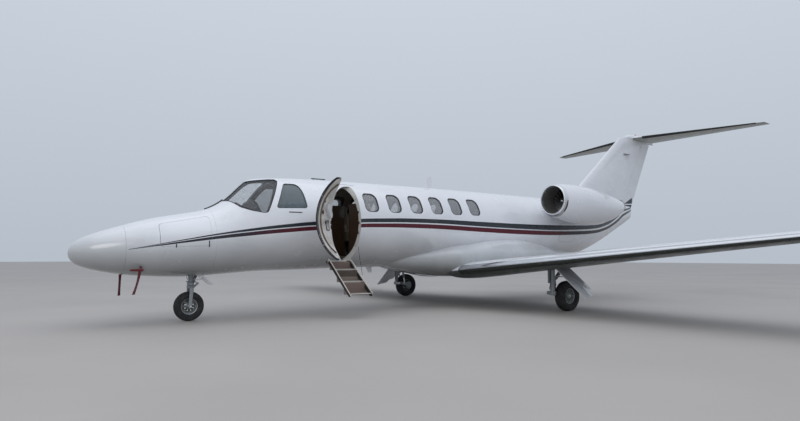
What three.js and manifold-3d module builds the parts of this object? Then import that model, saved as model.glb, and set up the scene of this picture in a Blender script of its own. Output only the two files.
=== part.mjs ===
// Light twin-engine business jet, parked on its gear with the cabin door open and the airstair down.
// Millimetres, +Z up. Stations run aft from a datum just ahead of the nose, the port side is -Y.
import * as THREE from 'three';
import { mergeVertices } from 'three/addons/utils/BufferGeometryUtils.js';
import Module from 'manifold-3d';

const wasm = await Module();
wasm.setup();

// Driving dimensions
const NOSE_TIP = 132; // station of the foremost point
const TAIL_TIP = 15590; // station of the rearmost point
const HALF_SPAN = 8130;
const FIT = 0.3; // gap kept where two pieces meet
const PORT = -1;
const STARBOARD = 1;

// Fuselage sections: station, bottom, top, half width, height of the widest point
const BODY = [
  { x: 132, bottom: 1036, top: 1068, half: 18, waist: 1052 },
  { x: 142, bottom: 992, top: 1112, half: 62, waist: 1052 },
  { x: 172, bottom: 938, top: 1164, half: 118, waist: 1052 },
  { x: 240, bottom: 880, top: 1228, half: 183, waist: 1053 },
  { x: 420, bottom: 814, top: 1322, half: 282, waist: 1055 },
  { x: 800, bottom: 738, top: 1456, half: 400, waist: 1080 },
  { x: 1200, bottom: 704, top: 1577, half: 490, waist: 1115 },
  { x: 1600, bottom: 690, top: 1661, half: 560, waist: 1160 },
  { x: 2000, bottom: 702, top: 1755, half: 618, waist: 1230 },
  { x: 2280, bottom: 722, top: 1912, half: 655, waist: 1310 },
  { x: 2660, bottom: 750, top: 2262, half: 700, waist: 1430 },
  { x: 2900, bottom: 762, top: 2322, half: 727, waist: 1490 },
  { x: 3300, bottom: 768, top: 2356, half: 762, waist: 1545 },
  { x: 3800, bottom: 780, top: 2380, half: 792, waist: 1580 },
  { x: 4600, bottom: 797, top: 2400, half: 802, waist: 1598 },
  { x: 7000, bottom: 834, top: 2436, half: 802, waist: 1635 },
  { x: 9300, bottom: 862, top: 2450, half: 802, waist: 1660 },
  { x: 10100, bottom: 882, top: 2452, half: 795, waist: 1680 },
  { x: 10900, bottom: 965, top: 2454, half: 745, waist: 1730 },
  { x: 11700, bottom: 1165, top: 2458, half: 625, waist: 1830 },
  { x: 12500, bottom: 1438, top: 2466, half: 468, waist: 1970 },
  { x: 13300, bottom: 1756, top: 2480, half: 296, waist: 2130 },
  { x: 13900, bottom: 2000, top: 2490, half: 160, waist: 2260 },
  { x: 14150, bottom: 2105, top: 2480, half: 85, waist: 2310 },
];
const RADOME_END = 800;
const CABIN_START = 2000;
const CABIN_END = 9300;
const BAY_END = 11000;
const TAIL_END = 14150;
const CABIN_WALL = 75;
const TAIL_WALL = 30;
const NOSE_WALL = 30;

// Helpers

function vec(x, y, z) {
  return new THREE.Vector3(x, y, z);
}

function solidFrom(geometry) {
  const plain = geometry.clone();
  plain.deleteAttribute('normal');
  plain.deleteAttribute('uv');
  const merged = mergeVertices(plain, 1e-3);
  return new wasm.Manifold(new wasm.Mesh({
    numProp: 3,
    vertProperties: Float32Array.from(merged.attributes.position.array),
    triVerts: Uint32Array.from(merged.index.array),
  }));
}

function geometryFrom(solid) {
  const mesh = solid.getMesh();
  const positions = new Float32Array(mesh.numVert * 3);
  for (let vertex = 0; vertex < mesh.numVert; vertex += 1) {
    for (let axis = 0; axis < 3; axis += 1) {
      positions[vertex * 3 + axis] = mesh.vertProperties[vertex * mesh.numProp + axis];
    }
  }
  const geometry = new THREE.BufferGeometry();
  geometry.setAttribute('position', new THREE.BufferAttribute(positions, 3));
  geometry.setIndex(Array.from(mesh.triVerts));
  geometry.computeVertexNormals();
  return geometry;
}

// The largest body of a cut solid, without the slivers that a cut can leave
function largest(solid) {
  const bodies = solid.decompose();
  bodies.sort((a, b) => b.volume() - a.volume());
  return bodies[0];
}

// The solid reflected to the other side of the centre plane
function reflected(solid) {
  const geometry = geometryFrom(solid);
  geometry.scale(1, -1, 1);
  const index = geometry.index.array;
  for (let corner = 0; corner < index.length; corner += 3) {
    [index[corner + 1], index[corner + 2]] = [index[corner + 2], index[corner + 1]];
  }
  return solidFrom(geometry);
}

function onSide(side, portSolid) {
  return side === PORT ? portSolid : reflected(portSolid);
}

// Triangles that close a ring of points, which lies near one plane
function capTriangles(ring) {
  const normal = vec(0, 0, 0);
  ring.forEach((point, i) => {
    const next = ring[(i + 1) % ring.length];
    normal.x += (point.y - next.y) * (point.z + next.z);
    normal.y += (point.z - next.z) * (point.x + next.x);
    normal.z += (point.x - next.x) * (point.y + next.y);
  });
  normal.normalize();
  const helper = Math.abs(normal.z) < 0.9 ? vec(0, 0, 1) : vec(1, 0, 0);
  const right = helper.clone().cross(normal).normalize();
  const up = normal.clone().cross(right);
  const flat = ring.map((point) => new THREE.Vector2(point.dot(right), point.dot(up)));
  return THREE.ShapeUtils.triangulateShape(flat, []);
}

// A closed solid through rings of points that all have the same number of points. The diagonals of its
// second half mirror the first half's, so that a ring that is alike left and right gives a solid that is.
function loft(rings) {
  const count = rings[0].length;
  const positions = rings.flat().flatMap((point) => [point.x, point.y, point.z]);
  const index = [];
  for (let ring = 0; ring < rings.length - 1; ring += 1) {
    for (let i = 0; i < count; i += 1) {
      const next = (i + 1) % count;
      const here = ring * count;
      const there = here + count;
      if (i < count / 2) index.push(here + i, here + next, there + next, here + i, there + next, there + i);
      else index.push(here + i, here + next, there + i, here + next, there + next, there + i);
    }
  }
  const last = (rings.length - 1) * count;
  capTriangles(rings[0]).forEach(([a, b, c]) => index.push(a, c, b));
  capTriangles(rings[rings.length - 1]).forEach(([a, b, c]) => index.push(last + a, last + b, last + c));
  let volume = 0;
  const corner = (i) => vec(positions[i * 3], positions[i * 3 + 1], positions[i * 3 + 2]);
  for (let i = 0; i < index.length; i += 3) {
    volume += corner(index[i]).dot(corner(index[i + 1]).cross(corner(index[i + 2])));
  }
  if (volume < 0) {
    for (let i = 0; i < index.length; i += 3) [index[i + 1], index[i + 2]] = [index[i + 2], index[i + 1]];
  }
  const geometry = new THREE.BufferGeometry();
  geometry.setAttribute('position', new THREE.Float32BufferAttribute(positions, 3));
  geometry.setIndex(index);
  return solidFrom(geometry);
}

// An outline in one plane, carried along the third axis: 'x' takes [y, z], 'y' takes [x, z], 'z' takes [x, y]
function prism(axis, outline, from, to) {
  const place = {
    x: (u, v, w) => vec(w, u, v),
    y: (u, v, w) => vec(u, w, v),
    z: (u, v, w) => vec(u, v, w),
  }[axis];
  return loft([from, to].map((w) => outline.map(([u, v]) => place(u, v, w))));
}

function box(x0, x1, y0, y1, z0, z1) {
  const geometry = new THREE.BoxGeometry(x1 - x0, y1 - y0, z1 - z0);
  geometry.translate((x0 + x1) / 2, (y0 + y1) / 2, (z0 + z1) / 2);
  return solidFrom(geometry);
}

// A block between two distances along each of three directions from an origin
function block(origin, [u, v, w], [u0, u1], [v0, v1], [w0, w1]) {
  return loft([u0, u1].map((p) => [[v0, w0], [v1, w0], [v1, w1], [v0, w1]].map(([q, r]) => (
    origin.clone().addScaledVector(u, p).addScaledVector(v, q).addScaledVector(w, r)))));
}

// A round bar between two points, with its own radius at each end
function rod(a, b, radiusA, radiusB = radiusA, sides = 16, phase = 0) {
  const along = b.clone().sub(a);
  const geometry = new THREE.CylinderGeometry(radiusB, radiusA, along.length(), sides);
  geometry.rotateY(phase);
  const turn = new THREE.Quaternion().setFromUnitVectors(vec(0, 1, 0), along.clone().normalize());
  geometry.applyQuaternion(turn);
  geometry.translate((a.x + b.x) / 2, (a.y + b.y) / 2, (a.z + b.z) / 2);
  return solidFrom(geometry);
}

// A solid of revolution about the Y axis through the origin; the profile holds [radius, y]
function turned(profile, sides) {
  const points = profile.map(([radius, y]) => new THREE.Vector2(radius, y));
  return solidFrom(new THREE.LatheGeometry(points, sides));
}

// The same about the X axis, at the height of an engine; the profile holds [radius, x]
function turnedAlongX(profile, sides, centre) {
  const points = profile.map(([radius, x]) => new THREE.Vector2(radius, x));
  const geometry = new THREE.LatheGeometry(points, sides);
  geometry.rotateZ(-Math.PI / 2);
  geometry.translate(0, centre.y, centre.z);
  return solidFrom(geometry);
}

function union(...solids) {
  return solids.reduce((sum, solid) => sum.add(solid));
}

// Fuselage skin

function blend(table, x, column) {
  if (x <= table[0].x) return table[0][column];
  const upper = table.findIndex((row) => row.x >= x);
  if (upper < 0) return table[table.length - 1][column];
  const [a, b] = [table[upper - 1], table[upper]];
  const before = table[Math.max(upper - 2, 0)];
  const after = table[Math.min(upper + 1, table.length - 1)];
  const step = b.x - a.x;
  const slopeA = (b[column] - before[column]) / (b.x - before.x || 1);
  const slopeB = (after[column] - a[column]) / (after.x - a.x || 1);
  const t = (x - a.x) / step;
  return (2 * t ** 3 - 3 * t ** 2 + 1) * a[column] + (t ** 3 - 2 * t ** 2 + t) * step * slopeA
    + (3 * t ** 2 - 2 * t ** 3) * b[column] + (t ** 3 - t ** 2) * step * slopeB;
}

// Elliptic section at a station, moved outwards by grow
function bodyRing(x, grow, sides) {
  const half = blend(BODY, x, 'half') + grow;
  const waist = blend(BODY, x, 'waist');
  const rise = blend(BODY, x, 'top') + grow - waist;
  const drop = waist - blend(BODY, x, 'bottom') + grow;
  return Array.from({ length: sides }, (_, i) => {
    const angle = (2 * Math.PI * (i + 0.5)) / sides;
    const lift = Math.cos(angle);
    return vec(x, half * Math.sin(angle), waist + lift * (lift > 0 ? rise : drop));
  });
}

// Body between two stations through the table's rows and the extra stations
function bodySolid(from, to, grow, sides, extra = []) {
  const inner = BODY.map((row) => row.x).concat(extra).filter((x) => x > from + 5 && x < to - 5);
  const stations = [from, ...inner.sort((a, b) => a - b), to];
  return loft(stations.map((x) => bodyRing(x, grow, sides)));
}

const BODY_SIDES = 28;
const CAVITY_SIDES = 20;

// Distance of the skin from the centre plane at a station and height
function skinHalf(x, z) {
  const waist = blend(BODY, x, 'waist');
  const reach = z > waist ? blend(BODY, x, 'top') - waist : waist - blend(BODY, x, 'bottom');
  return blend(BODY, x, 'half') * Math.sqrt(Math.max(0, 1 - ((z - waist) / reach) ** 2));
}

// A hinge place off the port skin, above its door or below it
function hingePlace(x, z, doorIsAbove) {
  const slope = (skinHalf(x, z + 2) - skinHalf(x, z - 2)) / 4;
  const upward = vec(0, -slope, 1).normalize();
  const inward = vec(0, 1, slope).normalize();
  const point = vec(x, -skinHalf(x, z), z).addScaledVector(inward, -HINGE_OFFSET);
  return { point, towardDoor: doorIsAbove ? upward : upward.negate(), inward };
}

// Outside hinge of a door, given by its two pin centres with the directions toward the door and into the
// body there. The door's knuckle runs between two of the frame's. Its strap goes over the skin to the
// distance strapEnd and is let into the door from the distance buryFrom.
const HINGE_OFFSET = 14; // of the pins from the skin
const KNUCKLE = { radius: 8, half: 15, flank: 36, pad: 6, deep: 28, sides: 12 };

function knuckles(places, buryFrom, strapEnd) {
  const along = places[1].point.clone().sub(places[0].point).normalize();
  const door = [];
  const frame = [];
  places.forEach(({ point, towardDoor, inward }) => {
    const v = towardDoor.clone().addScaledVector(along, -towardDoor.dot(along)).normalize();
    const w = along.clone().cross(v);
    if (w.dot(inward) < 0) w.negate();
    const axes = [along, v, w];
    const pin = (from, to) => (
      rod(point.clone().addScaledVector(along, from), point.clone().addScaledVector(along, to),
        KNUCKLE.radius, KNUCKLE.radius, KNUCKLE.sides));
    const width = [-KNUCKLE.half, KNUCKLE.half];
    door.push(pin(...width), block(point, axes, width, [0, strapEnd], [-5, 4]));
    door.push(block(point, axes, width, [buryFrom, strapEnd], [-5, KNUCKLE.deep]));
    [[-KNUCKLE.flank, -KNUCKLE.half - FIT], [KNUCKLE.half + FIT, KNUCKLE.flank]].forEach((range) => {
      frame.push(pin(...range), block(point, axes, range, [-KNUCKLE.pad, KNUCKLE.pad], [0, KNUCKLE.deep]));
    });
  });
  return { door: union(...door), frame: union(...frame) };
}

// Rounded rectangle of [u, v] points about a centre
function roundedRectangle(centreU, centreV, halfU, halfV, corner, steps = 2) {
  const points = [];
  [[1, 1, 0], [-1, 1, 1], [-1, -1, 2], [1, -1, 3]].forEach(([signU, signV, quarter]) => {
    for (let step = 0; step <= steps; step += 1) {
      const angle = (Math.PI / 2) * (quarter + step / steps);
      points.push([
        centreU + signU * (halfU - corner) + corner * Math.cos(angle),
        centreV + signV * (halfV - corner) + corner * Math.sin(angle),
      ]);
    }
  });
  return points;
}

// Cabin door: round at the front and nearly straight aft, where its edge turns about the hinge so that the
// door swings out without touching the frame. It is thinner than the wall.
const DOOR = {
  front: 3848, middle: 4360, back: 4438, sill: 937, head: 2252, thick: 45, hingeX: 3812, hingeY: -797, open: 139,
};
const DOOR_GAP = 8;
const DOOR_SHAPE = { front: 1.95, aft: 5 }; // exponents of the outline

function doorEdges(z, gap) {
  const middleZ = (DOOR.head + DOOR.sill) / 2;
  const halfZ = (DOOR.head - DOOR.sill) / 2 - gap;
  const share = Math.min(1, Math.abs((z - middleZ) / halfZ));
  const reach = (width, shape) => (width - gap) * (1 - share ** shape) ** (1 / shape);
  return {
    front: DOOR.middle - reach(DOOR.middle - DOOR.front, DOOR_SHAPE.front),
    aft: DOOR.middle + reach(DOOR.back - DOOR.middle, DOOR_SHAPE.aft),
  };
}

function doorway(gap) {
  const steps = 14;
  const bottom = DOOR.sill + gap;
  const top = DOOR.head - gap;
  const heights = Array.from({ length: steps + 1 }, (_, i) => {
    const share = (1 - Math.cos((Math.PI * i) / steps)) / 2;
    return bottom + (top - bottom) * share;
  });
  const farAft = DOOR.back + 400;
  const frontSide = heights.map((z) => [doorEdges(z, gap).front, z]);
  const frontOutline = [...frontSide, [farAft, top], [farAft, bottom]];
  const aftSide = heights.map((z) => {
    const x = doorEdges(z, gap).aft;
    return [Math.hypot(x - DOOR.hingeX, -skinHalf(x, z) - DOOR.hingeY), z];
  });
  const aftProfile = [[1, bottom], ...aftSide, [1, top]];
  const arcs = 8;
  const firstAngle = -0.7;
  const lastAngle = 1.7;
  const rings = Array.from({ length: arcs + 1 }, (_, i) => {
    const angle = firstAngle + ((lastAngle - firstAngle) * i) / arcs;
    return aftProfile.map(([radius, z]) => (
      vec(DOOR.hingeX + radius * Math.cos(angle), DOOR.hingeY + radius * Math.sin(angle), z)));
  });
  return prism('y', frontOutline, -1300, -60).intersect(loft(rings));
}

// Cabin windows: one row a side, opposite each other, and one more across from the door
const WINDOW = { first: 4701, pitch: 507, count: 6, halfX: 148, halfZ: 174, corner: 98 };

function windowHeight(x) {
  return 1967 + 0.0195 * (x - WINDOW.first);
}

function windowStations(side) {
  const start = side === PORT ? 0 : -1;
  const places = [];
  for (let i = start; i < WINDOW.count; i += 1) places.push(WINDOW.first + WINDOW.pitch * i);
  return places;
}

function windowHole(side, x) {
  const outline = roundedRectangle(x, windowHeight(x), WINDOW.halfX, WINDOW.halfZ, WINDOW.corner);
  return side === PORT ? prism('y', outline, -1000, -300) : prism('y', outline, 300, 1000);
}

// Cockpit glass, as outlines seen from the side
const WINDSCREEN = [
  [2150, 1902], [2290, 1896], [2388, 1776], [2534, 1724], [2718, 1696], [2775, 1704], [2897, 1960], [2996, 2146],
  [3070, 2262], [3050, 2288], [2952, 2283], [2777, 2256], [2600, 2235], [2150, 2235],
];
const SIDE_WINDOW = [
  [2926, 1782], [3410, 1803], [3432, 1825], [3420, 1967], [3405, 2102], [3380, 2180], [3335, 2212], [3175, 2212],
  [3135, 2188], [3062, 2071], [2989, 1921],
];
const CENTRE_POST = 28; // half width

// An outline moved inwards by gap, towards its middle
function shrunk(outline, gap) {
  const middle = outline.reduce(([u, v], [a, b]) => [u + a / outline.length, v + b / outline.length], [0, 0]);
  return outline.map(([u, v]) => {
    const length = Math.hypot(u - middle[0], v - middle[1]);
    return [u - ((u - middle[0]) * gap) / length, v - ((v - middle[1]) * gap) / length];
  });
}

function cockpitGlass(outline, inner, gap) {
  return prism('y', shrunk(outline, gap), -1000, -inner - gap);
}

// Wing, tail and control surfaces

// Airfoil loop of [chord share, height share] points from the upper trailing edge round the nose
function airfoil(thickness, camber, steps = 7) {
  const edge = 0.003;
  const half = (s) => 5 * thickness * (0.2969 * Math.sqrt(s) - 0.126 * s - 0.3516 * s ** 2
    + 0.2843 * s ** 3 - 0.1036 * s ** 4) + edge * s;
  const line = (s) => 4 * camber * s * (1 - s);
  const upper = [];
  const lower = [];
  for (let i = 0; i <= steps; i += 1) {
    const s = (1 - Math.cos((Math.PI * i) / steps)) / 2;
    upper.push([s, line(s) + half(s)]);
    if (i > 0) lower.push([s, line(s) - half(s)]);
  }
  return [...upper.reverse(), ...lower];
}

// Wing section at a distance from the centre plane
const WING = {
  root: 620, leadX: 6610, leadZ: 738, sweep: 0.0978, dihedral: 0.0922, chord: 2400, taper: 0.2006,
  datum: 900, tipRound: 7980,
};

function wingPlace(y) {
  const out = y - WING.datum;
  const chord = WING.chord - WING.taper * out;
  const share = Math.max(0, out) / (HALF_SPAN - WING.datum);
  return {
    x: WING.leadX + WING.sweep * out,
    z: WING.leadZ + WING.dihedral * out,
    chord,
    thickness: 0.135 - 0.022 * share,
    twist: THREE.MathUtils.degToRad(1 - 2.2 * share),
  };
}

function wingRing(y, grow = 0, slim = 1) {
  const { x, z, chord, thickness, twist } = wingPlace(Math.min(y, WING.tipRound));
  const { x: lead } = wingPlace(y);
  const loop = airfoil(thickness * slim, 0.015 * slim);
  const shift = lead - x;
  const points = loop.map(([s, h]) => {
    const along = chord * s * (slim < 1 ? 0.93 : 1) + shift * 1.5;
    const up = chord * h;
    return [x + along * Math.cos(twist) + up * Math.sin(twist),
      z + (y - Math.min(y, WING.tipRound)) * WING.dihedral - along * Math.sin(twist) + up * Math.cos(twist)];
  });
  return grown(points, grow).map(([px, pz]) => vec(px, -y, pz));
}

// A closed loop of [u, v] points moved outwards
function grown(points, distance) {
  if (distance === 0) return points;
  const area = points.reduce((sum, [u, v], i) => {
    const [nextU, nextV] = points[(i + 1) % points.length];
    return sum + u * nextV - v * nextU;
  }, 0);
  const sign = Math.sign(area);
  return points.map(([u, v], i) => {
    const [beforeU, beforeV] = points[(i + points.length - 1) % points.length];
    const [afterU, afterV] = points[(i + 1) % points.length];
    const normal = new THREE.Vector2(afterV - beforeV, beforeU - afterU).normalize().multiplyScalar(sign * distance);
    return [u + normal.x, v + normal.y];
  });
}

function wingSolid(grow = 0) {
  return loft([wingRing(WING.root - grow, grow), wingRing(4300, grow), wingRing(WING.tipRound, grow),
    wingRing(HALF_SPAN, grow, 0.3)]);
}

// A block with square ends along the hinge from a to b, lengthened by end, between two distances aft of it
function hingeBlock(a, b, end, fromAft, toAft) {
  const span = b.clone().sub(a);
  const along = span.clone().normalize();
  const aft = vec(1, 0, 0).addScaledVector(along, -along.x).normalize();
  const up = along.clone().cross(aft);
  const height = 400;
  return block(a, [along, aft, up], [-end, span.length() + end], [fromAft, toAft], [-height, height]);
}

// Parts a hinged surface from the fixed one. The hinge runs from a to b, and the radii are those of the moving
// surface's rounded nose there. Brackets on the fixed side reach to the nose at shares of the hinge's length.
const NOSE_GAP = 7;
const END_GAP = 9;
const LIP_GAP = 20; // from the hinge's plane to the edge of the fixed skin ahead of it
const HINGE_SIDES = 20;
const BRACKET_WIDTH = 16;

function parted(whole, cutter, widerCutter, a, b, radiusA, radiusB, shares) {
  const length = b.clone().sub(a).length();
  const along = b.clone().sub(a).normalize();
  const at = (distance) => a.clone().addScaledVector(along, distance);
  const nose = rod(a, b, radiusA, radiusB, HINGE_SIDES);
  const socket = rod(at(-END_GAP), at(length + END_GAP), radiusA + NOSE_GAP, radiusB + NOSE_GAP, HINGE_SIDES);
  const bearingScale = 1 / Math.cos(Math.PI / HINGE_SIDES);
  const bearing = rod(a, b, (radiusA + FIT) * bearingScale, (radiusB + FIT) * bearingScale, HINGE_SIDES,
    Math.PI / HINGE_SIDES);
  const brackets = shares.map((share) => {
    const from = at(length * share - BRACKET_WIDTH / 2);
    const to = at(length * share + BRACKET_WIDTH / 2);
    const radius = radiusA + (radiusB - radiusA) * share;
    return rod(from, to, radius + NOSE_GAP + 3, radius + NOSE_GAP + 3, HINGE_SIDES).subtract(bearing)
      .intersect(hingeBlock(from, to, 1, -2 * radius, -0.7 * radius));
  });
  return {
    moving: largest(whole.intersect(cutter).add(nose)),
    fixed: largest(union(whole.subtract(widerCutter).subtract(socket), ...brackets)),
  };
}

// Hinge point of a wing surface at a share of the chord
function wingHinge(y, share) {
  const { x, z, chord, thickness, twist } = wingPlace(y);
  const loop = airfoil(thickness, 0.015, 60);
  const near = (upper) => loop.filter(([s], i) => (upper ? i <= 60 : i >= 60))
    .reduce((best, point) => (Math.abs(point[0] - share) < Math.abs(best[0] - share) ? point : best));
  const top = near(true)[1] * chord;
  const bottom = near(false)[1] * chord;
  const along = chord * share;
  const middle = (top + bottom) / 2;
  return {
    point: vec(x + along * Math.cos(twist) + middle * Math.sin(twist), -y,
      z - along * Math.sin(twist) + middle * Math.cos(twist)),
    radius: (top - bottom) / 2 - 1.5,
  };
}

const FLAP = { from: 1080, to: 5480, share: 0.745 };
const AILERON = { from: 5530, to: 7700, share: 0.745 };

function wingSurface(whole, span, shares) {
  const inner = wingHinge(span.from, span.share);
  const outer = wingHinge(span.to, span.share);
  const [a, b] = [inner.point, outer.point];
  const reach = 900;
  return {
    ...parted(whole, hingeBlock(a, b, 0, 0, reach), hingeBlock(a, b, END_GAP, -LIP_GAP, reach),
      a, b, inner.radius, outer.radius, shares),
    hinge: [a, b],
  };
}

// Fin and rudder, in the centre plane
const FIN = {
  rootZ: 2380, rootLead: 11160, topZ: 4440, topLead: 13745, rudderFoot: 2520, tipTrail: 15370, rootTrail: 14240,
};

function finRing(z, lead, trail, thickness, grow = 0) {
  const chord = trail - lead;
  const points = airfoil(thickness, 0).map(([s, h]) => [lead + s * chord, h * chord]);
  return grown(points, grow).map(([x, y]) => vec(x, y, z));
}

function finSolid(grow = 0) {
  return loft([
    finRing(FIN.rootZ - 160, FIN.rootLead - 200, FIN.rootTrail - 95, 0.09, grow),
    finRing(FIN.topZ, FIN.topLead, FIN.tipTrail, 0.095, grow),
  ]);
}

const RUDDER_HINGE = [vec(13770, 0, 2525), vec(14905, 0, 4400)];

// Half thickness of the fin at a point in its plane
function finHalf({ x, z }) {
  const share = (z - (FIN.rootZ - 160)) / (FIN.topZ - (FIN.rootZ - 160));
  const lead = THREE.MathUtils.lerp(FIN.rootLead - 200, FIN.topLead, share);
  const trail = THREE.MathUtils.lerp(FIN.rootTrail - 95, FIN.tipTrail, share);
  const along = (x - lead) / (trail - lead);
  const loop = airfoil(THREE.MathUtils.lerp(0.09, 0.095, share), 0, 60).slice(0, 61);
  const nearest = loop.reduce((best, point) => (
    Math.abs(point[0] - along) < Math.abs(best[0] - along) ? point : best));
  return nearest[1] * (trail - lead);
}

// Tailplane
const TAIL = {
  z: 4490, tipY: 3200, rootLead: 14310, rootTrail: 15500, tipLead: 15200, tipTrail: 15590,
};

function tailPlace(y) {
  const share = (y - 120) / (TAIL.tipY - 120);
  return {
    lead: TAIL.rootLead + (TAIL.tipLead - TAIL.rootLead) * share,
    trail: TAIL.rootTrail + (TAIL.tipTrail - TAIL.rootTrail) * share,
  };
}

function tailRing(y, grow = 0) {
  const { lead, trail } = tailPlace(Math.abs(y));
  const chord = trail - lead;
  const points = airfoil(0.1, 0).map(([s, h]) => [lead + s * chord, TAIL.z + h * chord]);
  return grown(points, grow).map(([x, z]) => vec(x, y, z));
}

const ELEVATOR = { from: 190, to: 3120, share: 0.68 };

function elevatorHinge(y) {
  const { lead, trail } = tailPlace(y);
  const chord = trail - lead;
  const loop = airfoil(0.1, 0, 60);
  const top = loop.reduce((best, point) => (
    Math.abs(point[0] - ELEVATOR.share) < Math.abs(best[0] - ELEVATOR.share) ? point : best));
  return { point: vec(lead + ELEVATOR.share * chord, -y, TAIL.z), radius: Math.abs(top[1]) * chord - 1 };
}

// Engines

const ENGINE = { y: 1310, z: 2235, inlet: 9000, fanX: 9430, exit: 11540 };

// Nacelle sections: station, bottom, top, half width
const NACELLE = [
  { x: 9000, bottom: 1925, top: 2545, half: 310 },
  { x: 9040, bottom: 1890, top: 2572, half: 335 },
  { x: 9160, bottom: 1845, top: 2595, half: 365 },
  { x: 9600, bottom: 1765, top: 2610, half: 408 },
  { x: 10100, bottom: 1745, top: 2590, half: 415 },
  { x: 10600, bottom: 1770, top: 2535, half: 385 },
  { x: 11100, bottom: 1870, top: 2452, half: 300 },
  { x: 11540, bottom: 2040, top: 2372, half: 172 },
];

function nacelleRing(row, grow, sides) {
  const waist = (row.bottom + row.top) / 2;
  return Array.from({ length: sides }, (_, i) => {
    const angle = (2 * Math.PI * (i + 0.5)) / sides;
    return vec(row.x, -ENGINE.y + (row.half + grow) * Math.sin(angle),
      waist + ((row.top - row.bottom) / 2 + grow) * Math.cos(angle));
  });
}

function nacelleOuter(grow = 0, sides = 20) {
  return loft(NACELLE.map((row) => nacelleRing(row, grow, sides)));
}

const DUCT = [ // radius, station
  [0, 8900], [330, 8900], [302, 9000], [282, 9080], [276, 9560], [300, 9620],
  [300, 10500], [160, 11480], [160, 11640], [0, 11640],
];
const ENGINE_SIDES = 16;
const FAN = { radius: 266, hub: 95, blades: 16 };
const CORE = [ // radius, station
  [0, 9478.3], [110, 9478.3], [180, 9560], [180, 9619], [299.7, 9640], [299.7, 9680], [240, 9720],
  [240, 10300], [120, 11150], [0, 11420],
];

// Materials

function paint(color, roughness, metalness = 0) {
  return new THREE.MeshStandardMaterial({ color, roughness, metalness });
}

const WHITE = paint(0xe9eaee, 0.25);
const POLISHED = paint(0xc8ccd2, 0.15, 1);
const GLASS = paint(0x2a3238, 0.05);
const RUBBER = paint(0x18181a, 0.9);
const METAL = paint(0x9aa0a6, 0.35, 1);
const GEAR_PAINT = paint(0xb9bdc2, 0.4);
const CARPET = paint(0x6b5548, 0.95);
const LEATHER = paint(0xb9a88f, 0.6);
const LINING = paint(0xd6d0c4, 0.7);
const DARK = paint(0x1c1e22, 0.6);

const aircraft = new THREE.Group();
aircraft.position.x = -(NOSE_TIP + TAIL_TIP) / 2;

function add(name, solid, material, parent = aircraft) {
  const mesh = new THREE.Mesh(geometryFrom(largest(solid)), material);
  mesh.name = name;
  parent.add(mesh);
  return mesh;
}

// Nose

const NOSE_WELL = { from: 1690, to: 1990, half: 105, top: 930 };
const skinCutter = bodySolid(NOSE_TIP, TAIL_END, FIT, BODY_SIDES, [BAY_END]);

add('nose_cone', bodySolid(NOSE_TIP, RADOME_END - FIT, 0, BODY_SIDES, [320, 600]), WHITE);
const noseWell = box(NOSE_WELL.from, NOSE_WELL.to, -NOSE_WELL.half, NOSE_WELL.half, 500, NOSE_WELL.top);

// Baggage bay in the nose, with a door on each side that is hinged near the top
const NOSE_BAY = { from: 950, to: 1960, floor: 1000 };
const NOSE_DOOR = {
  from: 1230, to: 1930, belowTop: 110, bottomFront: 1140, bottomAft: 1160, corner: 45, gap: 6, frontGap: 15,
};

// The hinge slants, so the leaf moves forward as it opens, and has a wider gap ahead of it
function noseDoorOutline(gap, frontGap) {
  const [from, to] = [NOSE_DOOR.from + frontGap, NOSE_DOOR.to - gap];
  const { corner } = NOSE_DOOR;
  const topAt = (x) => blend(BODY, x, 'top') - NOSE_DOOR.belowTop - gap;
  const tops = [0.95, 0.75, 0.5, 0.25, 0.05].map((share) => from + (to - from) * share);
  return [
    [from + corner, NOSE_DOOR.bottomFront + gap], [to - corner, NOSE_DOOR.bottomAft + gap],
    [to, NOSE_DOOR.bottomAft + gap + corner], [to, topAt(to) - corner], ...tops.map((x) => [x, topAt(x)]),
    [from, topAt(from) - corner], [from, NOSE_DOOR.bottomFront + gap + corner],
  ];
}

const noseCavity = bodySolid(NOSE_BAY.from, NOSE_BAY.to, -NOSE_WALL, CAVITY_SIDES)
  .subtract(box(0, 3000, -1000, 1000, 0, NOSE_BAY.floor));
const noseShell = bodySolid(RADOME_END, CABIN_START - FIT, 0, BODY_SIDES).subtract(noseWell).subtract(noseCavity);
const noseDoorHole = prism('y', noseDoorOutline(0, 0), -1000, -150);
const noseHinge = [NOSE_DOOR.from + 90, NOSE_DOOR.to - 90].map((x) => (
  hingePlace(x, blend(BODY, x, 'top') - NOSE_DOOR.belowTop + 12, false)));
const noseKnuckles = knuckles(noseHinge, 34, 80);
add('nose_section', [noseDoorHole, reflected(noseDoorHole)].reduce((shell, hole) => shell.subtract(hole), noseShell)
  .add(noseKnuckles.frame).add(reflected(noseKnuckles.frame)), WHITE);
const noseLeaf = prism('y', noseDoorOutline(NOSE_DOOR.gap, NOSE_DOOR.frontGap), -1000, -150);
const noseDoor = noseShell.intersect(noseLeaf).add(noseKnuckles.door);
add('nose_baggage_door_left', noseDoor, WHITE);
add('nose_baggage_door_right', reflected(noseDoor), WHITE);

// Cabin

function cabinWindows(side) {
  return windowStations(side).map((x) => windowHole(side, x)).reduce((sum, hole) => sum.add(hole));
}

const cabinOuter = bodySolid(CABIN_START, CABIN_END - FIT, 0, BODY_SIDES, [2140, 2470]);

// The space inside the cabin wall, smaller by inset
function cavitySolid(inset) {
  return bodySolid(CABIN_START + 60 + inset, CABIN_END - 60 - inset, -CABIN_WALL - inset, CAVITY_SIDES, [2470]);
}

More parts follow.
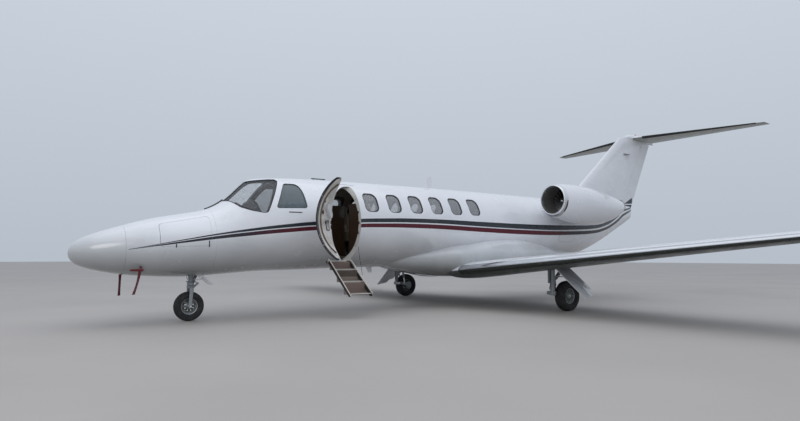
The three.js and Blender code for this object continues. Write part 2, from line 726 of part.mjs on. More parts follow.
const portScreen = cockpitGlass(WINDSCREEN, CENTRE_POST, 0);
const portSideWindow = cockpitGlass(SIDE_WINDOW, 300, 0);
const cabinShell = cabinOuter.subtract(cavitySolid(0));
const cutShell = [
  portScreen, reflected(portScreen), portSideWindow, reflected(portSideWindow),
  cabinWindows(PORT), cabinWindows(STARBOARD), doorway(0),
].reduce((shell, hole) => shell.subtract(hole), cabinShell);
const doorPins = [1450, 1740].map((z) => (
  { point: vec(DOOR.hingeX, DOOR.hingeY, z), towardDoor: vec(1, 0, 0), inward: vec(0, 1, 0) }));
const doorKnuckles = knuckles(doorPins, 66, 118);
const antenna = loft([[6470, 6690, 2410], [6590, 6700, 2690]].map(([lead, trail, z]) => [
  vec(lead, 0, z), vec((lead + trail) / 2, -9, z), vec(trail, 0, z), vec((lead + trail) / 2, 9, z)]));
add('cabin_shell', union(cutShell, doorKnuckles.frame, antenna), WHITE);

// Glass sheets lie within the wall, from one depth below the skin to another
function sheet(from, to, shallow, deep) {
  return bodySolid(from, to, -shallow, BODY_SIDES, [2470]).subtract(bodySolid(from - 1, to + 1, -deep, BODY_SIDES, [2470]));
}

const glassSheet = sheet(CABIN_START + 5, 3500, 8, 26);
const portScreenPane = largest(glassSheet.intersect(cockpitGlass(WINDSCREEN, CENTRE_POST, FIT)));
const portSidePane = largest(glassSheet.intersect(cockpitGlass(SIDE_WINDOW, 300, FIT)));
const LINING_DEPTH = 14;
const PANE_DEPTH = 22; // reach of a pane into the wall
const beltHeight = 225; // half height of the strip of wall lining that holds the panes

function windowBelt(side) {
  const stations = windowStations(side);
  const from = stations[0] - 230;
  const to = stations[stations.length - 1] + 230;
  const lining = cavitySolid(FIT).subtract(cavitySolid(LINING_DEPTH));
  const panes = stations.map((x) => {
    const outline = roundedRectangle(x, windowHeight(x), WINDOW.halfX - FIT, WINDOW.halfZ - FIT, WINDOW.corner);
    return prism('y', outline, -1000, -300).intersect(cavitySolid(-PANE_DEPTH)).subtract(cavitySolid(LINING_DEPTH));
  });
  const strip = prism('y', [
    [from, windowHeight(from) - beltHeight], [to, windowHeight(to) - beltHeight],
    [to, windowHeight(to) + beltHeight], [from, windowHeight(from) + beltHeight],
  ], -1000, -300);
  return onSide(side, union(lining.intersect(strip), ...panes));
}

for (const [side, name] of [[PORT, 'left'], [STARBOARD, 'right']]) {
  add(`windshield_${name}`, onSide(side, portScreenPane), GLASS);
  add(`side_window_${name}`, onSide(side, portSidePane), GLASS);
  add(`cabin_windows_${name}`, windowBelt(side), GLASS);
}

// Cabin door, made shut and turned open about its hinge
const doorHinge = new THREE.Group();
doorHinge.position.set(DOOR.hingeX, DOOR.hingeY, 0);
doorHinge.rotation.z = THREE.MathUtils.degToRad(-DOOR.open);
aircraft.add(doorHinge);
const doorSkin = cabinOuter.subtract(bodySolid(CABIN_START, CABIN_END, -DOOR.thick, BODY_SIDES, [2140, 2470]));
const doorLeaf = add('cabin_door', doorSkin.intersect(doorway(DOOR_GAP)).add(doorKnuckles.door), WHITE, doorHinge);
doorLeaf.geometry.translate(-DOOR.hingeX, -DOOR.hingeY, 0);

// Cabin inside

const FLOOR = { from: 2700, to: 9200, top: 1010, thick: 30, half: 395 };
const floorPlate = box(FLOOR.from, FLOOR.to, -FLOOR.half, FLOOR.half, FLOOR.top - FLOOR.thick, FLOOR.top);
const cavityFit = cavitySolid(FIT);
add('cabin_floor', floorPlate.intersect(cavityFit), CARPET);

// Seats: station of the seat's middle, and which way it faces (1 forward, -1 aft)
const SEAT = { width: 460, depth: 470, y: 420, seatTop: 1420, backTop: 1960, cushion: 130 };
const CABIN_SEATS = [{ x: 5050, faces: -1 }, { x: 6350, faces: 1 }, { x: 7400, faces: 1 }];

function seat(x, y, faces, base) {
  const front = x - (SEAT.depth / 2) * faces;
  const back = x + (SEAT.depth / 2) * faces;
  const side = [
    [front, SEAT.seatTop - SEAT.cushion], [front, SEAT.seatTop], [back - 110 * faces, SEAT.seatTop - 30],
    [back + 10 * faces, SEAT.backTop], [back + 100 * faces, SEAT.backTop - 20], [back, SEAT.seatTop - SEAT.cushion],
  ];
  const cushion = prism('y', side, y - SEAT.width / 2, y + SEAT.width / 2);
  const pedestal = box(x - 140, x + 140, y - 150, y + 150, base, SEAT.seatTop - SEAT.cushion + 5);
  return cushion.add(pedestal);
}

for (const [side, name] of [[PORT, 'left'], [STARBOARD, 'right']]) {
  const rail = box(4750, 7700, side * 300 - 120, side * 300 + 120, FLOOR.top + FIT, FLOOR.top + 28);
  const seats = CABIN_SEATS.map((row) => seat(row.x, side * SEAT.y, row.faces, FLOOR.top + 20));
  add(`cabin_seats_${name}`, union(rail, ...seats).intersect(cavitySolid(LINING_DEPTH + 6)), LEATHER);
}

// Behind the entry, a divider on the port side and a closet on the other
const DIVIDER = { inner: 190, top: 1965, z: FLOOR.top + FIT };
const room = cavitySolid(LINING_DEPTH + 6);
add('cabin_divider', box(4560, 4600, -900, -DIVIDER.inner, DIVIDER.z, DIVIDER.top).intersect(room), CARPET);
add('cabin_closet', box(4420, 4690, DIVIDER.inner, 900, DIVIDER.z, DIVIDER.top).intersect(room), CARPET);

const PILOT = { x: 3330, y: 330 };
for (const [side, name] of [[PORT, 'pilot_seat'], [STARBOARD, 'copilot_seat']]) {
  const whole = seat(PILOT.x, side * PILOT.y, 1, FLOOR.top + FIT);
  add(name, whole.intersect(cavityFit), DARK);
}

// Panel with its glareshield, and the two control yokes in front of the pilots
const PANEL = { x: 2560, depth: 160, bottom: 1250, top: 1690, half: 560 };
const panelBody = prism('y', [
  [PANEL.x, FLOOR.top - FLOOR.thick], [PANEL.x + 90, FLOOR.top - FLOOR.thick], [PANEL.x + 90, PANEL.bottom],
  [PANEL.x + PANEL.depth, PANEL.bottom], [PANEL.x + PANEL.depth, PANEL.top - 60], [PANEL.x + 250, PANEL.top],
  [PANEL.x - 130, PANEL.top], [PANEL.x - 130, PANEL.top - 40], [PANEL.x, PANEL.top - 60],
], -PANEL.half, PANEL.half);
const yokes = [PORT, STARBOARD].map((side) => union(
  rod(vec(PANEL.x + 100, side * PILOT.y, 1390), vec(PANEL.x + 340, side * PILOT.y, 1400), 22),
  box(PANEL.x + 325, PANEL.x + 355, side * PILOT.y - 150, side * PILOT.y + 150, 1370, 1430),
));
const floorClear = box(FLOOR.from - FIT, 9000, -600, 600, 900, FLOOR.top + FIT);
add('instrument_panel', union(panelBody, ...yokes).intersect(cavityFit).subtract(floorClear), DARK);

// Aft fuselage: a baggage bay with its door on the port side, and the tail cone behind it, open to the bay
const BAGGAGE = { from: 9930, to: 10560, bottom: 1360, top: 1790, gap: 6 };
const tailCavity = bodySolid(CABIN_END + 40, 13500, -TAIL_WALL, CAVITY_SIDES);
const bayShell = bodySolid(CABIN_END, BAY_END - FIT, 0, BODY_SIDES).subtract(tailCavity);

function baggageOutline(gap) {
  return roundedRectangle((BAGGAGE.from + BAGGAGE.to) / 2, (BAGGAGE.bottom + BAGGAGE.top) / 2,
    (BAGGAGE.to - BAGGAGE.from) / 2 - gap, (BAGGAGE.top - BAGGAGE.bottom) / 2 - gap, 80 - gap);
}

const baggageHinge = [BAGGAGE.from + 100, BAGGAGE.to - 100].map((x) => (
  hingePlace(x, BAGGAGE.bottom - 10, true)));
const baggageKnuckles = knuckles(baggageHinge, 28, 64);
add('tail_section', bayShell.subtract(prism('y', baggageOutline(0), -1000, -300)).add(baggageKnuckles.frame), WHITE);
add('baggage_door', bayShell.intersect(prism('y', baggageOutline(BAGGAGE.gap), -1000, -300))
  .add(baggageKnuckles.door), WHITE);
add('tail_cone', bodySolid(BAY_END, TAIL_END, 0, BODY_SIDES).subtract(tailCavity), WHITE);

// Belly fairing under the wing: station, bottom, middle, top, half width
const BELLY = [
  { x: 5300, bottom: 860, middle: 990, top: 1060, half: 380 },
  { x: 5600, bottom: 765, middle: 990, top: 1226, half: 620 },
  { x: 6150, bottom: 668, middle: 960, top: 1326, half: 790 },
  { x: 6700, bottom: 604, middle: 940, top: 1374, half: 915 },
  { x: 7600, bottom: 585, middle: 940, top: 1470, half: 950 },
  { x: 8600, bottom: 600, middle: 960, top: 1500, half: 930 },
  { x: 9400, bottom: 668, middle: 1000, top: 1400, half: 850 },
  { x: 10100, bottom: 775, middle: 1060, top: 1200, half: 690 },
  { x: 10700, bottom: 915, middle: 1120, top: 1180, half: 480 },
];

function bellyRing(row, sides = 28) {
  const exponent = 2 / 2.6;
  return Array.from({ length: sides }, (_, i) => {
    const angle = (2 * Math.PI * (i + 0.5)) / sides;
    const [s, c] = [Math.sin(angle), Math.cos(angle)];
    const reach = c > 0 ? row.top - row.middle : row.middle - row.bottom;
    return vec(row.x, row.half * Math.sign(s) * Math.abs(s) ** exponent,
      row.middle + reach * Math.sign(c) * Math.abs(c) ** exponent);
  });
}

const wholeWing = wingSolid();
const wingSocket = wingSolid(FIT);
const bellyWhole = loft(BELLY.map((row) => bellyRing(row))).subtract(skinCutter);
const LEG = { x: 7560, y: 2420, top: 900, foot: 340, radius: 42, pivot: 34 };

// Wings

const flapCut = wingSurface(wholeWing, FLAP, [0.12, 0.5, 0.88]);
const aileronCut = wingSurface(flapCut.fixed, AILERON, [0.15, 0.85]);
const flapHinge = flapCut.hinge;
const aileronHinge = aileronCut.hinge;
const bellySocket = wingSocket.add(reflected(wingSocket));
add('belly_fairing', bellyWhole.subtract(bellySocket), WHITE);
for (const [side, name] of [[PORT, 'left'], [STARBOARD, 'right']]) {
  add(`wing_${name}`, onSide(side, aileronCut.fixed), WHITE);
  add(`flap_${name}`, onSide(side, flapCut.moving), WHITE);
  add(`aileron_${name}`, onSide(side, aileronCut.moving), WHITE);
}

// Tail

const [rudderFoot, rudderHead] = RUDDER_HINGE;
const rudderRadius = RUDDER_HINGE.map((point) => finHalf(point) - 3);
const RUDDER_FLOOR = 2512; // over the tail cone
const finWhole = finSolid().subtract(skinCutter);
const RUDDER_GAP = { foot: 26, head: 16 }; // the hinge slants, so the ends sweep up and down
const rudderOutline = (foot, head) => [
  [rudderFoot.x, rudderFoot.z - foot], [14700, rudderFoot.z - foot + 60], [15700, rudderHead.z + head],
  [rudderHead.x, rudderHead.z + head],
];
const rudderCut = parted(finWhole, prism('y', rudderOutline(0, 0), -400, 400),
  prism('y', rudderOutline(RUDDER_GAP.foot, RUDDER_GAP.head), -400, 400),
  rudderFoot, rudderHead, ...rudderRadius, [0.25, 0.8]);
const tailSolid = loft([-TAIL.tipY, -120, 120, TAIL.tipY].map((y) => tailRing(y)));
const tailSocket = loft([-TAIL.tipY, -120, 120, TAIL.tipY].map((y) => tailRing(y, FIT)));
const finFairing = loft([
  { x: 14050, half: 40, top: 30 }, { x: 14250, half: 95, top: 100 }, { x: 14700, half: 110, top: 130 },
  { x: 15200, half: 90, top: 105 }, { x: 15560, half: 20, top: 30 },
].map(({ x, half, top }) => Array.from({ length: 16 }, (_, i) => {
  const angle = (2 * Math.PI * (i + 0.5)) / 16;
  return vec(x, half * Math.sin(angle), TAIL.z + (Math.cos(angle) > 0 ? top : 60) * Math.cos(angle));
})));
const finTop = finFairing.subtract(box(14000, 15700, -300, 300, 4300, TAIL.z));
add('fin', rudderCut.fixed.subtract(tailSocket), WHITE);
add('rudder', rudderCut.moving.subtract(box(13000, 15800, -300, 300, 2000, RUDDER_FLOOR)), WHITE);

let stabilizer = tailSolid;
const elevators = {};
const elevatorHinges = {};
{
  const inner = elevatorHinge(ELEVATOR.from);
  const outer = elevatorHinge(ELEVATOR.to);
  const [a, b] = [inner.point, outer.point];
  const portCut = parted(tailSolid, hingeBlock(a, b, 0, 0, 700), hingeBlock(a, b, END_GAP, 0, 700),
    a, b, inner.radius, outer.radius, [0.12, 0.5, 0.88]);
  elevators.left = portCut.moving;
  elevators.right = reflected(portCut.moving);
  elevatorHinges.left = [inner.point, outer.point];
  stabilizer = portCut.fixed.intersect(reflected(portCut.fixed)).add(finTop);
}
add('stabilizer', stabilizer, WHITE);
add('elevator_left', elevators.left, WHITE);
add('elevator_right', elevators.right, WHITE);

// Engines in their nacelles, on pylons from the fuselage

const nacelle = nacelleOuter().subtract(turnedAlongX(DUCT, ENGINE_SIDES, vec(0, -ENGINE.y, ENGINE.z)));
const pylonRing = (y, lead, trail, z) => {
  const chord = trail - lead;
  return airfoil(0.085, 0, 8).map(([s, h]) => vec(lead + s * chord, y, z + h * chord));
};
const pylon = largest(loft([pylonRing(-420, 9450, 11900, 2110), pylonRing(-1310, 9700, 11500, 2200)])
  .subtract(skinCutter).subtract(nacelleOuter(FIT)));
const core = turnedAlongX(CORE, ENGINE_SIDES, vec(0, -ENGINE.y, ENGINE.z));

function fanSolid() {
  const hub = turned([[0, -120], [45, -90], [FAN.hub, 0], [FAN.hub, 48], [0, 48]], 12);
  const blade = new THREE.BoxGeometry(FAN.radius - 60, 70, 6);
  blade.rotateX(THREE.MathUtils.degToRad(48));
  blade.translate(60 + (FAN.radius - 60) / 2, 8, 0);
  let fan = hub;
  for (let i = 0; i < FAN.blades; i += 1) {
    const turnedBlade = blade.clone();
    turnedBlade.rotateY((2 * Math.PI * i) / FAN.blades);
    fan = fan.add(solidFrom(turnedBlade));
  }
  return fan;
}

const fan = fanSolid();
for (const [side, name] of [[PORT, 'left'], [STARBOARD, 'right']]) {
  add(`nacelle_${name}`, onSide(side, nacelle), WHITE);
  add(`pylon_${name}`, onSide(side, pylon), WHITE);
  add(`engine_${name}`, onSide(side, core), METAL);
  const shaft = new THREE.Group();
  shaft.position.set(ENGINE.fanX, side * ENGINE.y, ENGINE.z);
  shaft.rotation.z = -Math.PI / 2;
  aircraft.add(shaft);
  add(`fan_${name}`, fan, METAL, shaft);
}

// Landing gear

const NOSE_WHEEL = { x: 1780, radius: 229, half: 56, rim: 125 };
const WHEEL_SIDES = 20;
const MAIN_WHEEL = { x: 7900, y: 2480, radius: 280, half: 95, rim: 140 };

// Tyre section about its axle, as [radius, y]
function tyre({ radius, half, rim }) {
  const crown = radius - rim;
  return turned([
    [rim, -half * 0.62], [rim + crown * 0.3, -half * 0.92], [rim + crown * 0.6, -half], [rim + crown * 0.85, -half * 0.82],
    [radius, -half * 0.4], [radius, half * 0.4], [rim + crown * 0.85, half * 0.82],
    [rim + crown * 0.6, half], [rim + crown * 0.3, half * 0.92], [rim, half * 0.62], [rim, -half * 0.62],
  ], WHEEL_SIDES);
}

function rim({ half, rim: seat }) {
  const r = seat - FIT;
  return turned([
    [14, -half * 0.5], [44, -half * 0.5], [44, -half * 0.25], [r - 26, -half * 0.25], [r, -half * 0.62],
    [r, half * 0.62], [r - 26, half * 0.25], [44, half * 0.25], [44, half * 0.5], [14, half * 0.5], [14, -half * 0.5],
  ], WHEEL_SIDES);
}

function wheel(prefix, suffix, size, y) {
  const axle = new THREE.Group();
  axle.position.set(size.x, y, size.radius);
  aircraft.add(axle);
  add(`${prefix}_tyre${suffix}`, tyre(size), RUBBER, axle);
  add(`${prefix}_rim${suffix}`, rim(size), METAL, axle);
}

wheel('nose', '', NOSE_WHEEL, 0);
const STEER = { x: 1800, crown: 530 };
const noseLegRod = union(
  rod(vec(STEER.x, 0, STEER.crown + 20 + FIT), vec(STEER.x, 0, NOSE_WELL.top - FIT), 36),
  rod(vec(STEER.x, 0, STEER.crown + 20 + FIT), vec(STEER.x, 0, STEER.crown + 70), 52),
  rod(vec(STEER.x + 20, 0, 600), vec(1960, 0, 900), 20),
);
const noseLeg = noseLegRod.intersect(box(1600, NOSE_WELL.to - FIT, -300, 300, 100, NOSE_WELL.top - FIT));
add('nose_leg', noseLeg, METAL);
const forkHalf = NOSE_WHEEL.half + 22;
const AXLE_END = 112; // reach of the nose axle, whose ends take a tow bar
const fork = union(
  rod(vec(STEER.x, 0, STEER.crown - 20), vec(STEER.x, 0, STEER.crown + 20), 56),
  box(STEER.x - 45, STEER.x + 45, -forkHalf - 12, forkHalf + 12, 486, STEER.crown),
  ...[-1, 1].map((hand) => prism('y', [
    [STEER.x - 35, 505], [STEER.x + 35, 505], [NOSE_WHEEL.x + 22, NOSE_WHEEL.radius - 22],
    [NOSE_WHEEL.x - 22, NOSE_WHEEL.radius - 22]], hand * forkHalf - 12, hand * forkHalf + 12)),
  rod(vec(NOSE_WHEEL.x, -AXLE_END, NOSE_WHEEL.radius), vec(NOSE_WHEEL.x, AXLE_END, NOSE_WHEEL.radius), 13.7),
);
add('nose_fork', fork, METAL);
const noseGearDoor = prism('y', [[1908, 722], [1921, 732], [2120, 560], [2108, 548]], -132, 132);
add('nose_gear_door', noseGearDoor.subtract(skinCutter), WHITE);

const wingUnder = wingSolid(FIT);
const mainLeg = largest(union(
  rod(vec(LEG.x, -LEG.y, LEG.foot), vec(LEG.x, -LEG.y, LEG.top), LEG.radius),
  rod(vec(LEG.x, -LEG.y - 45, LEG.foot), vec(LEG.x, -LEG.y + 110, LEG.foot), LEG.pivot),
  rod(vec(LEG.x + 10, -LEG.y, 520), vec(7950, -LEG.y, 900), 26),
).subtract(wingUnder));
// Trailing arm from the leg's foot to the axle, inboard of the wheel
const armY = MAIN_WHEEL.y - MAIN_WHEEL.half - 45;
const armFront = LEG.x + LEG.pivot + FIT;
const mainArm = union(
  prism('y', [[armFront, LEG.foot - 30], [armFront, LEG.foot + 34], [MAIN_WHEEL.x - 30, 330],
    [MAIN_WHEEL.x + 40, 280], [MAIN_WHEEL.x, 236]], -armY - 25, -armY + 25),
  rod(vec(MAIN_WHEEL.x, -armY + 20, MAIN_WHEEL.radius), vec(MAIN_WHEEL.x, -MAIN_WHEEL.y - 40, MAIN_WHEEL.radius), 13.7),
);
const doorTop = -2600;
const mainDoor = loft([0, 14].map((depth) => [
  vec(7480, doorTop + 64, 797 + depth), vec(7880, doorTop + 64, 812 + depth), vec(7880, -3000, 415 + depth),
  vec(7780, -3010, 400 + depth), vec(7740, -3120, 320 + depth), vec(7480, -3180, 268 + depth),
]));
for (const [side, name] of [[PORT, 'left'], [STARBOARD, 'right']]) {
  wheel('main', `_${name}`, MAIN_WHEEL, side * MAIN_WHEEL.y);
  add(`main_leg_${name}`, onSide(side, mainLeg), METAL);
  add(`main_arm_${name}`, onSide(side, mainArm), METAL);
  add(`main_gear_door_${name}`, onSide(side, mainDoor.subtract(wingUnder)), WHITE);
}

// Airstair: two side plates that rest on the skin below the door, three treads with risers, and a rail on
// each side. A row is the front edge of a tread.
const STAIR = { front: 3900, back: 4310, plate: 14, tread: 14, going: 215, rail: 12 };
const TREADS = [{ y: -860, z: 790 }, { y: -1100, z: 595 }, { y: -1330, z: 405 }];
const sidePlate = [
  [-380, 940], [-560, 950], [-640, 975], [-1345, 400], [-1345, 352], [-1290, 352], [-600, 895], [-380, 880],
];
const plates = [[STAIR.front, STAIR.front + STAIR.plate], [STAIR.back - STAIR.plate, STAIR.back]]
  .map(([from, to]) => prism('x', sidePlate, from, to));
const steps = TREADS.map(({ y, z }, row) => {
  const [from, to] = [STAIR.front + 5, STAIR.back - 5];
  const above = row === 0 ? 930 : TREADS[row - 1].z - 5;
  return union(
    box(from, to, y, y + STAIR.going, z - STAIR.tread, z),
    box(from, to, y + STAIR.going - 12, y + STAIR.going, z - 5, above),
  );
});
const rails = [STAIR.front - 8, STAIR.back + 8].map((x) => (
  rod(vec(x, -625, 980), vec(x, -1365, 382), STAIR.rail, STAIR.rail, 10)));
const belowDoor = box(3800, 4400, -1500, 0, 200, DOOR.sill - 6);
add('airstair', union(...plates, ...steps, ...rails).intersect(belowDoor).subtract(skinCutter), CARPET);

export default aircraft;
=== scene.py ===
import math

import bmesh
import bpy
from mathutils import Matrix, Vector


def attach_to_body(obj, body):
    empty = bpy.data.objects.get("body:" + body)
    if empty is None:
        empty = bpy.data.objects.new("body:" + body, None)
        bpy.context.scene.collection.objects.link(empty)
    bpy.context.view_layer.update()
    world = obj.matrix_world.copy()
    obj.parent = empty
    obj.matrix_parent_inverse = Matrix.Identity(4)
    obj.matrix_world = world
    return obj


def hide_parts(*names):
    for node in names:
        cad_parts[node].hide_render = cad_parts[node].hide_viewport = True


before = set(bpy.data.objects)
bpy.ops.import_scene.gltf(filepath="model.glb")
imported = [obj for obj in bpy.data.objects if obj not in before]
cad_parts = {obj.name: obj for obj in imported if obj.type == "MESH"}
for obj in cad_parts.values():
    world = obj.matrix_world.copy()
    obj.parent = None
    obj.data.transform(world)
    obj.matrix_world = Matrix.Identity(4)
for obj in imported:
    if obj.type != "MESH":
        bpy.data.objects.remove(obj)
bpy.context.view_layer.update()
scene = bpy.context.scene

DATUM = 7861.0
PORT = -1
STARBOARD = 1
SIDES = ((PORT, "left"), (STARBOARD, "right"))


# Camera, floor and light

CAMERA = {"x": -735, "y": -8903, "z": 997, "yaw": 36.587, "pitch": 3.119, "roll": 0.061}
FOCAL_PIXELS = 552.098
IMAGE_WIDTH = 800
CENTRE_BELOW = 16.377  # pixels of the optical centre below the middle of the picture


def from_datum(station):
    """Place of a station along the frame's x, in metres."""
    return (station - DATUM) / 1000


def place(x, y, z):
    """Point in the frame, in metres, from a station, side and height in millimetres."""
    return Vector((from_datum(x), y / 1000, z / 1000))


def make_camera():
    yaw, pitch, roll = (math.radians(CAMERA[key]) for key in ("yaw", "pitch", "roll"))
    forward = Vector((math.sin(yaw) * math.cos(pitch), math.cos(yaw) * math.cos(pitch), math.sin(pitch)))
    level = Vector((math.cos(yaw), -math.sin(yaw), 0))
    upright = level.cross(forward)
    right = level * math.cos(roll) + upright * math.sin(roll)
    up = upright * math.cos(roll) - level * math.sin(roll)
    data = bpy.data.cameras.new("camera")
    data.sensor_width = 36
    data.lens = FOCAL_PIXELS / IMAGE_WIDTH * data.sensor_width
    data.shift_y = CENTRE_BELOW / IMAGE_WIDTH
    data.clip_end = 400
    camera = bpy.data.objects.new("camera", data)
    turn = Matrix((right, up, -forward)).transposed().to_4x4()
    camera.matrix_world = Matrix.Translation(place(CAMERA["x"], CAMERA["y"], CAMERA["z"])) @ turn
    scene.collection.objects.link(camera)
    scene.camera = camera


def area_light(name, location, target, size, power, color):
    data = bpy.data.lights.new(name, "AREA")
    data.shape = "DISK"
    data.size = size
    data.energy = power
    data.color = color
    light = bpy.data.objects.new(name, data)
    light.location = location
    light.rotation_mode = "QUATERNION"
    light.rotation_quaternion = (Vector(target) - Vector(location)).to_track_quat("-Z", "Y")
    scene.collection.objects.link(light)


make_camera()


# Materials

class Graph:
    """A material's node graph."""

    def __init__(self, name):
        self.material = bpy.data.materials.new(name)
        self.material.use_nodes = True
        self.tree = self.material.node_tree
        self.tree.nodes.clear()
        self.output = self.tree.nodes.new("ShaderNodeOutputMaterial")
        self.place = self.node("TexCoord").outputs["Object"]

    def node(self, kind, inputs=None, **settings):
        made = self.tree.nodes.new("ShaderNode" + kind)
        for name, value in settings.items():
            setattr(made, name, value)
        for key, value in (inputs or {}).items():
            self.feed(made.inputs[key], value)
        return made

    def feed(self, socket, value):
        if isinstance(value, bpy.types.NodeSocket):
            self.tree.links.new(value, socket)
        else:
            socket.default_value = value

    def maths(self, operation, first, second, third=0.0):
        return self.node("Math", {0: first, 1: second, 2: third}, operation=operation).outputs[0]

    def noise(self, scale, detail, stretch=(1, 1, 1)):
        spot = self.node("Mapping", {"Vector": self.place, "Scale": stretch}).outputs[0]
        keys = {"Vector": spot, "Scale": scale, "Detail": detail, "Roughness": 0.5}
        return self.node("TexNoise", keys).outputs[0]

    def spread(self, value, low, high, to_low, to_high):
        keys = {"Value": value, "From Min": low, "From Max": high, "To Min": to_low, "To Max": to_high}
        return self.node("MapRange", keys).outputs[0]

    def mottle(self, scale, detail=4):
        """Factor from 0 to 1 that changes in soft blotches."""
        return self.spread(self.noise(scale, detail), 0.35, 0.7, 0.0, 1.0)

    def wander(self, scale, low, high):
        """Value that drifts between two limits."""
        return self.spread(self.noise(scale, 3), 0.3, 0.7, low, high)

    def wave(self, scale, way="Z", **inputs):
        """Regular ripples along a direction of the frame."""
        keys = {"Vector": self.place, "Scale": scale, **inputs}
        return self.node("TexWave", keys, bands_direction=way).outputs["Fac"]

    def mix(self, factor, first, second):
        made = self.node("Mix", data_type="RGBA")
        self.feed(made.inputs[0], factor)
        self.feed(made.inputs[6], first)
        self.feed(made.inputs[7], second)
        return made.outputs[2]

    def axis(self, letter):
        return self.node("SeparateXYZ", {0: self.place}).outputs["XYZ".index(letter)]

    def bump(self, height, strength, distance, under=None):
        keys = {"Height": height, "Strength": strength, "Distance": distance}
        if under is not None:
            keys["Normal"] = under
        return self.node("Bump", keys).outputs[0]

    def orange_peel(self, under=None):
        return self.bump(self.noise(420, 1), 0.03, 0.001, under)

    def surface(self, **sockets):
        """Connects a surface shader whose sockets are named with underscores for spaces."""
        names = {key.replace("_", " "): value for key, value in sockets.items()}
        shader = self.node("BsdfPrincipled", names)
        self.tree.links.new(shader.outputs[0], self.output.inputs[0])
        return self.material


def rgb(red, green, blue):
    return (red, green, blue, 1.0)


SKIN_JOINTS = (799, 9300, 11000)  # stations at which skin panels meet
BELLY_JOINTS = (6785,)
JOINT_LINE = {"half": 0.0016, "depth": 0.3}  # half the line's width in metres, and how dark it is
BELLY_SHADE = {"low": 0.62, "high": 1.42, "most": 0.92}  # heights in metres between which the belly gets darker, as painted shade of the underside


def paint(name, light, dark, rough=0.22, joints=(), coat=0.6, shaded_below=False, shine=0.5):
    """Gloss paint with faint mottling, orange peel, soft waviness of the skin, dirt in its joints and, if
    shaded_below, painted shade towards the bottom.
    """
    g = Graph(name)
    color = g.mix(g.mottle(1.3), light, dark)
    if shaded_below:
        # Painted shade: the colour gets darker towards the bottom, standing in for the shade of the
        # underside.
        height = g.maths("ADD", g.axis("Z"), g.wander(1.1, -0.07, 0.07))
        depth = g.spread(height, BELLY_SHADE["low"], BELLY_SHADE["high"], BELLY_SHADE["most"], 0.0)
        color = g.mix(depth, color, rgb(0.15, 0.155, 0.14))
    grime = g.spread(g.noise(9, 5, (0.25, 1, 1)), 0.55, 0.8, 0.0, 0.12)
    color = g.mix(grime, color, rgb(0.30, 0.29, 0.27))
    if joints:
        line = None
        station = g.axis("X")
        for joint in joints:
            hit = g.maths("COMPARE", station, from_datum(joint), JOINT_LINE["half"])
            line = hit if line is None else g.maths("MAXIMUM", line, hit)
        color = g.mix(g.maths("MULTIPLY", line, JOINT_LINE["depth"]), color, rgb(0.16, 0.17, 0.19))
    return g.surface(Base_Color=color, Roughness=g.wander(5, rough * 0.75, rough * 1.3),
                     Normal=g.orange_peel(g.bump(g.noise(2.2, 1), 0.12, 0.02)), Coat_Weight=coat,
                     Coat_Roughness=0.06, Specular_IOR_Level=shine)


CLEAN = rgb(0.80, 0.81, 0.84)
DULL = rgb(0.74, 0.755, 0.79)
# The white of the fuselage and of the belly fairing gets painted shade towards the bottom.
WHITE = paint("white_paint", CLEAN, rgb(0.75, 0.765, 0.80), joints=SKIN_JOINTS, shaded_below=True)
PLAIN_WHITE = paint("plain_white_paint", CLEAN, DULL)
BELLY_WHITE = paint("belly_white_paint", CLEAN, DULL, joints=BELLY_JOINTS, shaded_below=True)
NAVY = paint("navy_paint", rgb(0.020, 0.026, 0.034), rgb(0.027, 0.033, 0.042), 0.3, coat=0.15, shine=0.3)
GREY_PAINT = paint("grey_paint", rgb(0.30, 0.32, 0.34), rgb(0.24, 0.26, 0.28), 0.4, coat=0.1)
# Painted shade with painted reflection of the ground: grey-olive for the tailplane's lower surface.
TAIL_UNDER_SHADE = paint("tailplane_underside_painted_shade", rgb(0.34, 0.355, 0.33), rgb(0.29, 0.305, 0.28), 0.35, coat=0.2)
# Painted shade: dark grey for the wing's lower surface, standing in for the shade under the wing.
UNDERSIDE_SHADE_GREY = paint("wing_underside_painted_shade", rgb(0.105, 0.112, 0.108), rgb(0.078, 0.084, 0.082), 0.4, coat=0.1)
RAIL_PAINT = paint("pale_rail_paint", rgb(0.74, 0.68, 0.60), rgb(0.60, 0.54, 0.47), 0.4, coat=0.2)
TO_MAROON = (2350, 3150)  # stations between which the lower stripe turns maroon
TO_BLACK = (9700, 10500)


def lower_stripe():
    """The lower stripe, near black at the nose and at the tail, and maroon between."""
    g = Graph("maroon_paint")
    station = g.axis("X")
    ahead = g.spread(station, *map(from_datum, TO_MAROON), 0.0, 1.0)
    behind = g.spread(station, *map(from_datum, TO_BLACK), 1.0, 0.0)
    red = g.mix(g.noise(3, 3), rgb(0.082, 0.009, 0.018), rgb(0.105, 0.013, 0.024))
    color = g.mix(g.maths("MULTIPLY", ahead, behind), rgb(0.030, 0.026, 0.036), red)
    return g.surface(Base_Color=color, Roughness=g.wander(5, 0.2, 0.3), Normal=g.orange_peel(),
                     Coat_Weight=0.15, Coat_Roughness=0.06, Specular_IOR_Level=0.3)


MAROON = lower_stripe()


def metal(name, light, dark, rough, grain=(1, 1, 1), scale=60, bump=0.05):
    """Bare metal with brushing along the direction that grain stretches least."""
    g = Graph(name)
    streak = g.noise(scale, 4, grain)
    color = g.mix(g.spread(streak, 0.3, 0.7, 0.0, 1.0), light, dark)
    gloss = g.spread(g.noise(scale * 0.4, 3, grain), 0.3, 0.75, rough * 0.7, rough * 1.5)
    return g.surface(Base_Color=color, Metallic=1.0, Roughness=gloss, Normal=g.bump(streak, bump, 0.002))


